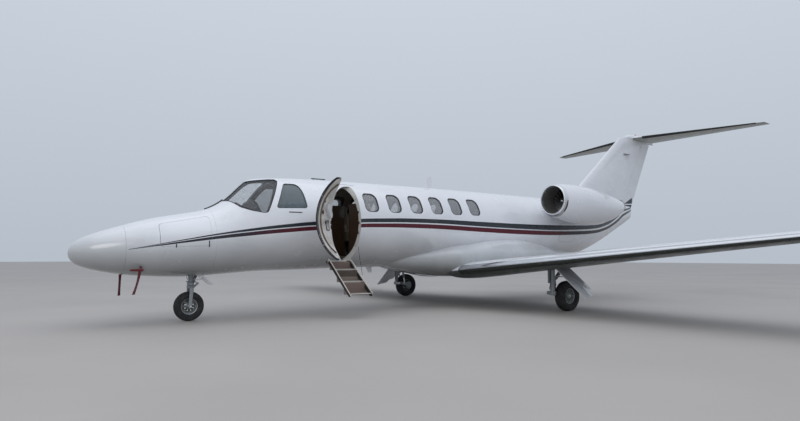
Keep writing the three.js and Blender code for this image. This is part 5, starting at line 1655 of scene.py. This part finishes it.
x = NOSE_LEG
leg = Shape().turned([(0, 551), (46, 551), (52, 556), (52, 596), (46, 602), (37, 606), (37, 700), (42, 704),
                      (42, 722), (37, 726), (37, 929), (0, 929)], (x, 0, 0), (0, 0, 1), 40)
leg.bar((x + 28, 0, 612), (1958, 0, 890), 17, 17, 20)
leg.bar((x + 60, 0, 667), (x + 96, 0, 732), 24, 24, 20)
leg.bar((1948, -58, 886), (1948, 58, 886), 15, 15, 18)
leg.block((x - 60, x - 28), (-26, 26), (600, 622))
piece("nose_leg_strut", leg, [GREY_PAINT], replaces=["nose_leg"])
hoses = curved_bar([(x + 44, -20, 590), (x + 62, -34, 660), (x + 40, -30, 760), (x + 36, -18, 900)], 5)
hoses.join(curved_bar([(x - 40, 24, 640), (x - 56, 30, 720), (x - 40, 20, 850)], 4))
piece("nose_leg_lines", hoses, [SEAL])

ARM_RINGS = 41
ARM_SIDES = 20
ARM_THICK = 13
fork_arm = NOSE_WHEEL["half"] + 22
axle_x, axle_z = NOSE_WHEEL["x"], NOSE_WHEEL["radius"]
fork = Shape().turned([(0, 504), (50, 504), (57, 510), (57, 542), (50, 549), (0, 549)], (x, 0, 0),
                      (0, 0, 1), 40)
for hand in (-1, 1):
    spine = [(x, 0, 522), (x, hand * fork_arm * 0.7, 520), (x - 2, hand * fork_arm, 486),
             (x - 8, hand * (fork_arm + 2), 400), (axle_x, hand * (fork_arm + 2), axle_z + 4)]
    arm = curved_bar(spine, 1, ARM_SIDES)
    rings = []
    for k in range(ARM_RINGS):
        ring = arm.points[k * ARM_SIDES:(k + 1) * ARM_SIDES]
        middle = Vector([sum(column) / ARM_SIDES for column in zip(*ring)])
        wide = 36 - 10 * k / 40
        high = ARM_THICK + (wide - ARM_THICK) * max(0, 1 - k / 14)
        offsets = [Vector(point) - middle for point in ring]
        rings.append([tuple(middle + Vector((offset.x * wide, offset.y * ARM_THICK, offset.z * high)))
                      for offset in offsets])
    fork.grid(rings)
    boss = [(0, 14), (24, 14), (28, 9), (28, -10), (0, -10)]
    fork.turned(boss, (axle_x, hand * (fork_arm + 4), axle_z), (0, hand, 0), 28)
fork.bar((axle_x, -112, axle_z), (axle_x, 112, axle_z), 13.5, 13.5, 24, 1)
fork.join(link((x + 50, 0, 530), (x + 112, 0, 580), 15, 13, 26))
piece("nose_fork_arms", fork, [GREY_PAINT, CHROME], "nose_steering", ["nose_fork"], 40)
piece("nose_torque_link", link((x + 44, 0, 622), (x + 112, 0, 580), 14, 12, 20), [STEEL])
nose_door = rounded_polygon([(1900, 716), (1914, 734), (2120, 572), (2106, 552)], 3)
nose_plate = side_prism(nose_door, -131, -120, 0, 120, 131)
nose_plate.block((1900, 1925), (-60, -44), (690, 735))
nose_plate.block((1900, 1925), (44, 60), (690, 735))
nose_plate.bar((1850, -52, 640), (2010, -52, 650), 7, 7, 12)
piece("nose_gear_door_panel", nose_plate, [PLAIN_WHITE], replaces=["nose_gear_door"])


# Main gear

LEG = {"x": 7560, "y": 2420, "foot": 340}
x, y = LEG["x"], -LEG["y"]
main_leg = Shape().turned([(0, 300), (38, 300), (44, 306), (44, 372), (40, 380), (42, 520), (50, 526),
                           (50, 566), (43, 574), (43, 905), (0, 905)], (x, y, 0), (0, 0, 1), 40)
main_leg.bar((x, y - 58, LEG["foot"]), (x, y + 112, LEG["foot"]), 32, 32, 32, 1)
main_leg.turned([(0, -8), (40, -8), (44, -4), (44, 4), (40, 8), (0, 8)],
                (x, y - 52, LEG["foot"]), (0, 1, 0), 32, 1)
main_leg.bar((x + 20, y, 545), (7925, y, 872), 24, 24, 24)
main_leg.bar((x + 90, y, 608), (x + 210, y, 717), 33, 33, 24)
arm_y = -(MAIN_WHEEL["y"] - MAIN_WHEEL["half"] - 45)
main_leg.bar((x + 6, arm_y + 4, 520), (x + 6, arm_y + 4, 800), 24, 24, 24)
pair(loose("main_leg", main_leg, [GREY_PAINT, STEEL], 40), "main_leg_{}_strut", "airframe",
     ["main_leg_{}"])

front = x + 35
axle_x, axle_z = MAIN_WHEEL["x"], MAIN_WHEEL["radius"]
arm_outline = rounded_polygon([(front, 310), (front, 374), (7700, 368), (axle_x - 26, 334),
                               (axle_x + 42, 296), (axle_x + 30, 246), (axle_x - 40, 240), (7700, 296)], 22)
arm_edge = shrunk(arm_outline, 6)
main_arm = Shape().grid([[(px, arm_y + shift, pz) for px, pz in outline] for shift, outline in
                         ((-26, arm_edge), (-18, arm_outline), (18, arm_outline), (26, arm_edge))])
main_arm.bar((axle_x, arm_y + 24, axle_z), (axle_x, -MAIN_WHEEL["y"] - 40, axle_z), 13.5, 13.5, 24, 1)
main_arm.turned([(0, -4), (92, -4), (96, 0), (96, 44), (88, 50), (0, 50)],
                (axle_x, arm_y - 26, axle_z), (0, -1, 0), 48, 2)
main_arm.bar((7745, arm_y, 372), (7700, arm_y, 640), 15, 15, 20, 1)
main_arm.bar((7728, arm_y, 470), (7706, arm_y, 640), 25, 25, 24, 0)
main_arm.bar((7722, arm_y - 30, 350), (7722, arm_y + 30, 350), 20, 20, 20, 1)
pair(loose("main_arm", main_arm, [GREY_PAINT, CHROME, TITANIUM], 40), "main_arm_{}_lever", "airframe",
     ["main_arm_{}"])
lines = curved_bar([(x + 46, y + 20, 860), (x + 56, y + 36, 640), (x + 60, arm_y + 36, 420),
                    (7740, arm_y + 34, 344), (7850, arm_y - 12, 330)], 6)
lines.join(curved_bar([(x - 46, y, 850), (x - 52, y + 10, 600), (x - 46, y + 24, 420)], 5))
pair(loose("main_lines", lines, [SEAL]), "main_leg_{}_lines", "airframe")

gear_door = [(7480, -2536, 797), (7880, -2536, 812), (7880, -3000, 415), (7780, -3010, 400),
             (7740, -3120, 320), (7480, -3180, 268)]


def gear_plate(points, thickness):
    """Flat plate of points, with its corners rounded."""
    middle = sum((Vector(point) for point in points), Vector()) / len(points)
    u = (Vector(points[1]) - Vector(points[0])).normalized()
    v = (Vector(points[-1]) - Vector(points[0])).normalized()
    v = (v - u * v.dot(u)).normalized()
    flat = [((Vector(point) - middle).dot(u), (Vector(point) - middle).dot(v)) for point in points]
    outline = rounded_polygon(flat, 34, 6)
    lift = u.cross(v)
    if lift.z < 0:
        lift.negate()
    rings = []
    for shift, inset in ((0, 3), (2, 0), (thickness - 2, 0), (thickness, 3)):
        rings.append([tuple(middle + u * a + v * b + lift * shift) for a, b in shrunk(outline, inset)])
    return Shape().grid(rings)


plate = gear_plate(gear_door, 14)
plate.bar((7560, -2470, 640), (7640, -2720, 650), 10, 10, 16, 1)
plate.bar((7860, -2480, 760), (7850, -2690, 690), 9, 9, 16, 1)
pair(loose("gear_door", plate, [PLAIN_WHITE, STEEL]), "main_gear_door_{}_panel", "airframe",
     ["main_gear_door_{}"])


# Airstair

def across_prism(outline, start, length, paint=0):
    """An outline of (side, height) points carried aft from a station."""
    return Shape().grid([[(x, y, z) for y, z in outline] for x in (start, start + length)], paint)


STAIR = {"front": 3900, "back": 4310, "plate": 10, "tread": 16, "going": 205}
TREADS = ((-860, 790), (-1100, 595), (-1330, 405))
side_plate = [(-530, 922), (-650, 930), (-1348, 392), (-1348, 358), (-1290, 356), (-610, 886), (-530, 886)]
stair = Shape()
for start in (STAIR["front"], STAIR["back"] - STAIR["plate"]):
    outline = rounded_polygon(side_plate, 16)
    stair.join(across_prism(outline, start, STAIR["plate"], 1))
span = (STAIR["front"] + STAIR["plate"], STAIR["back"] - STAIR["plate"])
for row, (py, pz) in enumerate(TREADS):
    stair.block(span, (py + 6, py + STAIR["going"]), (pz - STAIR["tread"], pz - 3), 1)
    stair.block(span, (py + 8, py + STAIR["going"]), (pz - 3, pz + 2), 0)
    stair.block(span, (py, py + 7), (pz - 9, pz + 4), 2)
    above = 918 if row == 0 else TREADS[row - 1][1] - 18
    face = py + STAIR["going"] - 8
    # On the second riser the lower part is paler carpet, painted light, and the upper part the dark floor
    # carpet, painted shade.
    middle = pz + 0.4 * (above - pz) if row == 1 else above
    stair.block(span, (face, face + 8), (pz, middle), 4 if row == 1 else 0)
    if row == 1:
        stair.block(span, (face, face + 8), (middle, above), 3)
    cheek = [(py + 30, pz - 14), (face + 6, pz - 14), (face + 6, pz + 84)]
    for start in (STAIR["front"] + 2, STAIR["back"] - STAIR["plate"] + 2):
        stair.join(across_prism(cheek, start, 6))
stair_looks = [TREAD_CARPET, MATTE_BLACK, RAIL_PAINT, CARPET, RISER_LIT_CARPET]
attach(bevelled(loose("airstair_steps", stair, stair_looks), 1.5), "airframe", ["airstair"])
rails = Shape()
for px, low in ((STAIR["front"] - 8, 0), (STAIR["back"] + 8, 26)):
    rails.join(curved_bar([(px, -612, 905), (px, -640, 931), (px, -700, 918), (px, -1290 + low, 441 + low),
                           (px, -1352 + low, 390 + low), (px, -1366 + low, 368 + low)], 8, 16))
piece("airstair_rails", rails, [RAIL_PAINT])


# Inside of the door: lining with a strip of painted shade, knobs and a bracket on it, handle, seal and latch
# pins

tray = patch(door_outline(34), 22, 40, 9).join(patch(door_outline(62), 38, 46, 9, 1))
lining = loose("cabin_door_lining", tray, [DOOR_LINING, DOOR_LINING])
attach(swung(cut_by_shape(lining, doorway(6), 0, "INTERSECT")), "cabin_door")

# A dark brown strip along the lining's edge, painted shade there.
shade_path = [(4230, 2150), (4290, 2060), (4326, 1960), (4344, 1800), (4350, 1600), (4340, 1380),
              (4300, 1180), (4220, 1060)]
shade = curved_bar(on_skin(shade_path, 49), 14, 10, 6)
for px, pz, reach in ((4257, 1711, 30), (4098, 1553, 34), (4290, 1880, 18), (4310, 1330, 18)):
    spot = on_skin([(px, pz)], 47)[0]
    knob = [(0, -6), (reach, -6), (reach + 3, -3), (reach + 3, 3), (0, 3)]
    shade.turned(knob, spot, (0, 1, 0.1), 28, 1)
bracket = [(3990, 1430), (4112, 1430), (4112, 1592), (3990, 1592)]
for a, b in zip(bracket, bracket[1:] + bracket[:1]):
    ends = on_skin([a, b], 48)
    shade.bar(ends[0], ends[1], 5, 5, 8, 1)
attach(swung(loose("cabin_door_painted_shade", shade, [BROWN_SHADE, SEAL])), "cabin_door")

grip = [(4196, 1846), (4110, 1850), (3900, 1700), (3900, 1640), (3960, 1640), (4170, 1780)]
handle = patch(rounded_polygon(grip, 14), 40, 78, 3, 2)
lever = on_skin([(4060, 1470), (4060, 1505), (4075, 1560), (4170, 1580)], 66)
handle.join(curved_bar(lever, 11, 14, 8, 1))
handle.join(patch(rounded_outline(4062, 1510, 46, 58, 18), 44, 58, 3, 0))
attach(swung(loose("cabin_door_handle", handle, [PALE_PLASTIC, STEEL, PLAIN_WHITE])), "cabin_door")

seal_path = on_skin(door_outline(23, 40), 26)
seal_rings = []
for i, spot in enumerate(seal_path):
    before, after = Vector(seal_path[i - 1]), Vector(seal_path[(i + 1) % len(seal_path)])
    out = (after - before).normalized()
    side = out.cross(Vector((0, 1, 0))).normalized()
    seal_rings.append(circle(Vector(spot), side, side.cross(out), 8, 10))
seal = Shape().grid(seal_rings + seal_rings[:1], 0, True, (False, False))
edge_seal = cut_by_shape(loose("cabin_door_seal", seal, [SEAL]), doorway(5), 0, "INTERSECT")
attach(swung(edge_seal), "cabin_door")
pins = Shape()
for z in (1180, 1330, 1480, 1640, 1800, 1950):
    aft = door_edges(z, 6)[1]
    spot = Vector((aft - 24, -Section(aft, -16).side_at(z), z))
    pins.bar(spot, spot + Vector((22, -2, 0)), 9, 7, 18)
attach(swung(loose("cabin_door_pins", pins, [CHROME])), "cabin_door")


# Hinge of the door: two knuckles of the frame beside each one of the leaf

def hinge_half(name, knuckles, first, last):
    """Knuckles on the hinge pin, each with a tab that reaches from first to last aft of the pin."""
    x, y = DOOR["hinge_x"], DOOR["hinge_y"]
    hinge = Shape()
    for z in (1450, 1740):
        for low, high in knuckles:
            hinge.bar((x, y, z + low), (x, y, z + high), 8, 8, 20)
            hinge.block((x + first, x + last), (y - 5, y + 12), (z + low, z + high))
    return loose(name, hinge, [STEEL])


attach(hinge_half("cabin_door_hinge_frame", ((-36, -16), (16, 36)), -8, 10), "airframe")
attach(swung(hinge_half("cabin_door_hinge_leaf", ((-15, 15),), 0, 70)), "cabin_door")

# Latch boxes and sill plate of the doorway, and the stay of the stair
latches = Shape()
for z in (1205, 1418, 1592, 1780, 2000):
    aft = door_edges(z, 0)[1]
    edge = -Section(aft).side_at(z)
    latches.block((aft - 12, aft + 8), (edge + 50, edge + 72), (z - 24, z + 24))
attach(bevelled(loose("doorway_latches", latches, [SEAL]), 3), "airframe")
sill_edge = -Section(4150).side_at(930) - 6
sill = Shape().block((4020, 4345), (sill_edge, -380), (929, 938))
sill.block((4020, 4345), (sill_edge - 10, sill_edge + 6), (900, 938))
attach(bevelled(loose("doorway_sill", sill, [PALE_PLASTIC]), 3), "airframe")
stay = curved_bar([(4412, -752, 1180), (4380, -840, 1010), (4335, -1010, 690)], 4, 10)
piece("airstair_stay", stay, [SEAL])


# Details on the skin

def strip(points, depth, radius):
    """Bead along (station, height) points on the port skin."""
    return curved_bar(on_skin(points, depth), radius, 8, 4)


marks = Shape()
for x, low, high in ((1439, 1131, 1181), (1892, 1142, 1239)):
    spots = on_skin([(x, low), (x, high)], 0)
    marks.bar(spots[0], spots[1], 8, 8, 8)
marks.join(strip([(3112, 1718), (3220, 1719), (3331, 1719)], 0, 8))
marks.join(strip([(4120, 2262), (4300, 2290), (4520, 2280)], 2, 4))
piece("skin_latches_left", marks, [SEAL])
piece("skin_latches_right", marks.mirrored(), [SEAL])


def aerial(start, end, low, high, thickness, rake):
    """Thin upright blade on the centre line."""
    rings = []
    for k in range(7):
        share = k / 6
        z = low + (high - low) * share
        lead = start + rake * share
        chord = (end - start) * (1 - 0.42 * share) * (1 if k < 6 else 0.9)
        rings.append([(lead + s * chord, h * chord * 0.6, z) for s, h in airfoil(thickness, 0, 10)])
    return Shape().grid(rings)


piece("antenna_blade", aerial(6470, 6690, 2424, 2690, 0.14, 120), [PLAIN_WHITE])
piece("antenna_belly", aerial(5050, 5190, 812, 700, 0.12, 60), [PLAIN_WHITE])


def pod(x, y, z, length, half, height):
    """Low teardrop fairing on the skin."""
    rings = []
    for k in range(15):
        t = k / 14
        swell = max(0.02, math.sin(math.pi * t ** 0.7) ** 0.6)
        rings.append([(x + length * t, y + half * swell * math.sin(turn), z + height * swell * math.cos(turn))
                      for turn in turns_round(24)])
    return Shape().grid(rings)


rail = Shape().bar((3880, 0, 2408), (4160, 0, 2412), 9, 9, 16)
for x in (3920, 4120):
    rail.bar((x, 0, 2370), (x, 0, 2408), 9, 7, 14)
piece("roof_antenna", rail, [SEAL])
ridge = [(x, 70, along(BODY, x, "top") + 2) for x in (2010, 2080, 2140, 2200, 2260, 2300)]
deflector = curved_bar(ridge, 13, 10, 4)
piece("windscreen_deflector", deflector, [SEAL])
piece("beacon", pod(14560, 0, 4606, 130, 26, 42), [RED_LENS])

wiper = strip([(2290, 1893), (2360, 1822), (2430, 1775), (2520, 1740)], -6, 6)
pair(loose("wiper", wiper, [SEAL]), "windscreen_{}_seal_strip", "airframe")

# Air data probes low on the nose, each under a red cover with a streamer
PROBE = {"root": (1010, 338, 842), "tip": (1010, 392, 806), "length": 162}
STREAMERS = {PORT: {"x": 985, "length": 330, "sway": -78}, STARBOARD: {"x": 868, "length": 385, "sway": -10}}


def streamer(x, y, top, length, width, sway):
    """Hanging strip of cloth with a gentle twist, as thin as cloth."""
    rings = []
    for k in range(25):
        t = k / 24
        twist = 0.4 * math.sin(2.6 * t)
        shift = sway * (0.5 * t + 0.5 * t ** 2)
        along_x, along_y = math.cos(0.35 + twist), math.sin(0.35 + twist)
        ring = []
        for u, w in ((-0.5, -0.5), (0, -0.5), (0.5, -0.5), (0.5, 0.5), (0, 0.5), (-0.5, 0.5)):
            bow = 4 * (1 - 4 * u * u) * math.sin(7 * t)
            ring.append((x + shift + u * width * along_x - (w * 1.6 + bow) * along_y,
                         y + u * width * along_y + (w * 1.6 + bow) * along_x, top - length * t))
        rings.append(ring)
    return Shape().grid(rings)


for side, word in SIDES:
    root, tip = Vector(PROBE["root"]), Vector(PROBE["tip"])
    root.y *= side
    tip.y *= side
    mast = Shape().bar(root + (root - tip) * 0.4, tip, 15, 11, 20)
    mast.bar(tip + Vector((12, 0, 0)), tip - Vector((PROBE["length"] - 10, 0, 0)), 9, 7, 16)
    mast.bar(root - (root - tip) * 0.02, root + (root - tip) * 0.2, 26, 30, 28)
    piece(f"probe_{word}_mast", mast, [STEEL])
    cover = Shape().turned([(0, -22), (15, -20), (19, -12), (19, 60), (17, 120), (12, 152), (0, 160)], tip,
                           (-1, 0, 0), 24)
    cover.bar(tip + (root - tip) * 0.9, tip + (root - tip) * 0.05, 20, 18, 20)
    piece(f"probe_{word}_cover", cover, [RED_CLOTH])
    row = STREAMERS[side]
    cloth = streamer(row["x"], tip.y, tip.z - 14, row["length"], 50, row["sway"])
    made = piece(f"probe_{word}_streamer", cloth, [RED_CLOTH])

# Lights at the wing tips
for side, word in SIDES:
    lens = RED_LENS if side == PORT else GREEN_LENS
    piece(f"tip_light_{word}", pod(8420, side * 8122, 1392, 190, 22, 15), [lens])


def wicks(*sides):
    """Thin rods behind the trailing edge of wing and aileron."""
    made = Shape()
    for y in sides:
        row = wing_place(y)
        x, z = row["x"] + row["chord"] * 0.99, row["z"] - row["chord"] * math.sin(row["twist"])
        made.bar((x - 6, -y, z), (x + 70, -y, z + 2), 2.2, 1.6, 8)
    return loose("wicks", made, [SEAL])


pair(wicks(7900), "wing_wick_{}", "airframe")
pair(wicks(5900, 6500, 7100), "aileron_wick_{}", "aileron_{}")


# Cabin furniture

FLOOR_TOP = 1010


PAD_STEPS = 14
PAD_POWER = 0.7  # 1 would make an ellipsoid, 0 a box
CUSHION_CAP = 0.026  # most that the cloth may move, in metres
VOXEL = 0.012


def rounded_box(half):
    """Rings of a superellipsoid about the origin, with three half sizes."""
    rings = []
    for i in range(PAD_STEPS + 1):
        lat = -math.pi / 2 + math.pi * i / PAD_STEPS
        ring = []
        for lon in turns_round(PAD_STEPS * 2):
            parts = (math.cos(lat) * math.cos(lon), math.cos(lat) * math.sin(lon), math.sin(lat))
            ring.append(tuple(math.copysign(abs(part) ** PAD_POWER, part) * size
                              for part, size in zip(parts, half)))
        rings.append(ring)
    return rings


def cushion(name, half, channels, material):
    """A stuffed pad about the origin, blown up as cloth, with sewn channels across it."""
    shape = Shape().grid(rounded_box(half))
    mesh = bpy.data.meshes.new(name)
    mesh.from_pydata([Vector(point) / 1000 for point in shape.points], [], shape.faces)
    mesh.materials.append(material)
    made = linked(name, mesh)
    remesh = made.modifiers.new("remesh", "REMESH")
    remesh.mode = "VOXEL"
    remesh.voxel_size = VOXEL
    apply_modifiers(made)
    rest = [vertex.co.copy() for vertex in made.data.vertices]
    cloth = made.modifiers.new("cloth", "CLOTH")
    cloth.settings.use_pressure = True
    cloth.settings.uniform_pressure_force = 4
    cloth.settings.effector_weights.gravity = 0
    for step in range(1, 21):
        scene.frame_set(step)
    apply_modifiers(made)
    scene.frame_set(1)
    for vertex, start in zip(made.data.vertices, rest):
        moved = vertex.co - start
        if moved.length > CUSHION_CAP:
            vertex.co = start + moved.normalized() * CUSHION_CAP
    for vertex in made.data.vertices:
        spot = vertex.co * 1000
        dip = sum(math.exp(-((spot.x - channel) / 9) ** 2) for channel in channels)
        if spot.z > 0:
            vertex.co.z -= 0.009 * dip * min(1.0, spot.z / (half[2] * 0.6))
    smooth(made.data, 60)
    return made


def apply_modifiers(made):
    depsgraph = bpy.context.evaluated_depsgraph_get()
    mesh = bpy.data.meshes.new_from_object(made.evaluated_get(depsgraph))
    made.modifiers.clear()
    made.data = mesh


SEAT_SIDE = 420
CABIN_SEATS = ({"x": 5050, "faces": -1}, {"x": 6350, "faces": 1}, {"x": 7400, "faces": 1})
PILOT = {"x": 3330, "y": 330}
SEAT_BACK = 205  # from the seat's middle to its back
PADS = {
    "seat": {"half": (205, 205, 46), "channels": (-70, 70)},
    "back": {"half": (235, 195, 42), "channels": (-120, 0, 120)},
    "head": {"half": (70, 140, 40), "channels": ()},
}
pad_meshes = {}
for key, row in PADS.items():
    made = cushion("pad", row["half"], row["channels"], CREAM_LEATHER)
    pad_meshes["cabin", key] = made.data
    bpy.data.objects.remove(made)
    twin_mesh = pad_meshes["cabin", key].copy()
    twin_mesh.materials.clear()
    twin_mesh.materials.append(DARK_LEATHER)
    pad_meshes["pilot", key] = twin_mesh


def set_pad(name, finish, key, centre, faces, lean):
    """Puts a pad at a place. Its own x runs along the seat, or up the back where lean is near upright."""
    mesh = pad_meshes[finish, key].copy()
    tilt = Matrix.Rotation(math.radians(-lean), 4, "Y")
    turn = Matrix.Rotation(math.pi if faces > 0 else 0, 4, "Z")
    mesh.transform(Matrix.Translation(place(*centre)) @ turn @ tilt)
    made = linked(name, mesh)
    attach(made, "airframe")


def fitted(shape, depth):
    """The shape held below the skin by a depth, by moving its outlying points in."""
    for i, (x, y, z) in enumerate(shape.points):
        reach = Section(x, -depth).side_at(z)
        shape.points[i] = (x, max(-reach, min(reach, y)), z)
    return shape


def seat_frame(x, y, faces, base):
    """Pedestal, shell and arm rests of a seat."""
    back = x + SEAT_BACK * faces
    corners = ((-1, -1), (1, -1), (1, 1), (-1, 1))
    made = Shape().grid([[(x + a * (130 - 34 * t), y + b * (150 - 40 * t), base + (1330 - base) * t)
                          for a, b in corners] for t in (0, 0.15, 0.4, 1)], 1)
    made.block((x - 215, x + 215), (y - 205, y + 205), (1318, 1344))
    outline = rounded_polygon([(back - 20 * faces, 1300), (back + 6 * faces, 1300),
                               (back + 112 * faces, 1900), (back + 84 * faces, 1900)], 12)
    made.join(side_prism(outline, y - 200, y + 200))
    post = x + 90 * faces
    for arm_y in (y - 208, y + 208):
        arm = rounded_outline(x - 10 * faces, 1535, 190, 26, 24, 4)
        made.join(side_prism(arm, arm_y - 22, arm_y + 22))
        made.block((post - 30, post + 30), (arm_y - 14, arm_y + 14), (1330, 1515), 1)
    return fitted(made, CABIN_WALL + 16)


def seat_pads(label, finish, x, y, faces):
    back = x + SEAT_BACK * faces
    set_pad(f"{label}_seat_pad", finish, "seat", (x - 6 * faces, y, 1378), faces, 4)
    set_pad(f"{label}_back_pad", finish, "back", (back + 8 * faces, y, 1640), faces, 79)
    set_pad(f"{label}_head_pad", finish, "head", (back + 62 * faces, y, 1905), faces, 79)


for side, word in SIDES:
    frames = Shape()
    frames.block((4750, 7700), (side * 300 - 12, side * 300 + 12), (1011, 1030), 1)
    frames.block((4750, 7700), (side * 300 - 112, side * 300 - 92), (1011, 1030), 1)
    for number, row in enumerate(CABIN_SEATS, 1):
        frames.join(seat_frame(row["x"], side * SEAT_SIDE, row["faces"], FLOOR_TOP + 20))
        seat_pads(f"cabin_{word}_{number}", "cabin", row["x"], side * SEAT_SIDE, row["faces"])
    attach(bevelled(loose(f"cabin_seats_{word}_frames", frames, [CREAM_LEATHER, STEEL]), 3), "airframe",
           [f"cabin_seats_{word}"])
for side, label in ((PORT, "pilot"), (STARBOARD, "copilot")):
    shell = seat_frame(PILOT["x"], side * PILOT["y"], 1, FLOOR_TOP)
    attach(bevelled(loose(f"{label}_seat_frame", shell, [DARK_LEATHER, STEEL]), 3), "airframe",
           [f"{label}_seat"])
    seat_pads(label, "pilot", PILOT["x"], side * PILOT["y"], 1)


# Instrument panel with its screens, yokes and cowl

COWL = {"half": 560, "steps": 48, "bow": 60, "hump": 200, "hump_y": 340, "hump_width": 150}
COWL_EDGE = (  # station, height and share of the hump
    (2400, 1668, 0), (2520, 1712, 0.7), (2640, 1732, 1), (2740, 1722, 0.8), (2806, 1684, 0.3),
    (2810, 1650, 0), (2780, 1640, 0), (2560, 1646, 0), (2400, 1650, 0),
)
SCREENS = {"y": (-390, -130, 130, 390), "z": 1465, "half_y": 118, "half_z": 92, "frame": 12}
YOKE = ((-150, 90), (-165, 30), (-150, -25), (-70, -35), (0, -10), (70, -35), (150, -25), (165, 30),
        (150, 90))
face = [(2560, 1000), (2640, 1000), (2650, 1250), (2700, 1290), (2700, 1600), (2690, 1630), (2560, 1640)]
sides = [-540 + 1080 * k / 12 for k in range(13)]
board = side_prism(face, *sides)
cowl = []
for k in range(COWL["steps"] + 1):
    y = -COWL["half"] + 2 * COWL["half"] * k / COWL["steps"]
    bow = COWL["bow"] * (y / COWL["half"]) ** 2
    hump = COWL["hump"] * math.exp(-((abs(y) - COWL["hump_y"]) / COWL["hump_width"]) ** 2)
    cowl.append([(px - bow, y, pz + rise * hump) for px, pz, rise in COWL_EDGE])
board.grid(cowl)
board.block((2640, 3060), (-130, 130), (1010, 1300), 0)
board.grid([[(px, y, pz) for px, pz in ((2660, 1290), (3060, 1290), (3060, 1320), (2700, 1400))]
            for y in (-125, 125)], 2)
for y in SCREENS["y"]:
    for start, thick, inset, corner, paint_number in ((2698, 8, 0, 10, 1), (2705, 4, SCREENS["frame"], 6, 3)):
        half_y, half_z = SCREENS["half_y"] - inset, SCREENS["half_z"] - inset
        outline = rounded_outline(y, SCREENS["z"], half_y, half_z, corner, 3)
        board.join(across_prism(outline, start, thick, paint_number))
for side in (-1, 1):
    hub = side * PILOT["y"]
    board.bar((2690, hub, 1390), (2900, hub, 1400), 20, 20, 20, 2)
    board.join(curved_bar([(2900, hub + a, 1400 + b) for a, b in YOKE], 15, 12, 5, 2))
for k in range(7):
    board.bar((2698, -210 + 70 * k, 1605), (2716, -210 + 70 * k, 1605), 8, 7, 12, 2)
fitted(board, CABIN_WALL + 8)
piece("instrument_panel_board", board, [MATTE_BLACK, TITANIUM, MATTE_BLACK, DISPLAY],
      replaces=["instrument_panel"])
dress(CARPET, "cabin_floor")
dress(VENEER, "cabin_divider", "cabin_closet")


# Studio

floor_mesh = bpy.data.meshes.new("floor")
floor_mesh.from_pydata([(-90, -60, 0), (90, -60, 0), (90, 120, 0), (-90, 120, 0)], [], [(0, 1, 2, 3)])
floor = linked("floor", floor_mesh)
floor_graph = Graph("floor_paint")
floor_color = floor_graph.mix(floor_graph.mottle(0.35), rgb(0.45, 0.42, 0.395), rgb(0.41, 0.385, 0.365))
floor_mesh.materials.append(floor_graph.surface(Base_Color=floor_color, Roughness=0.8))


def sky(horizon, zenith):
    """World that is darker round the horizon than overhead."""
    world = bpy.data.worlds.new("studio")
    world.use_nodes = True
    tree = world.node_tree
    height = tree.nodes.new("ShaderNodeSeparateXYZ")
    tree.links.new(tree.nodes.new("ShaderNodeTexCoord").outputs["Generated"], height.inputs[0])
    blend = tree.nodes.new("ShaderNodeMix")
    blend.data_type = "RGBA"
    tree.links.new(height.outputs[2], blend.inputs[0])
    blend.inputs[6].default_value = horizon
    blend.inputs[7].default_value = zenith
    tree.links.new(blend.outputs[2], tree.nodes["Background"].inputs["Color"])
    scene.world = world


sky(rgb(0.47, 0.52, 0.585), rgb(0.76, 0.82, 0.92))
scene.view_settings.view_transform = "Standard"
area_light("overhead", place(4500, -1500, 15000), place(6500, 0, 1000), 22, 520, (1.0, 0.985, 0.965))
area_light("front", place(-9000, -13000, 11000), place(3000, 0, 1500), 7, 420, (1.0, 0.98, 0.95))
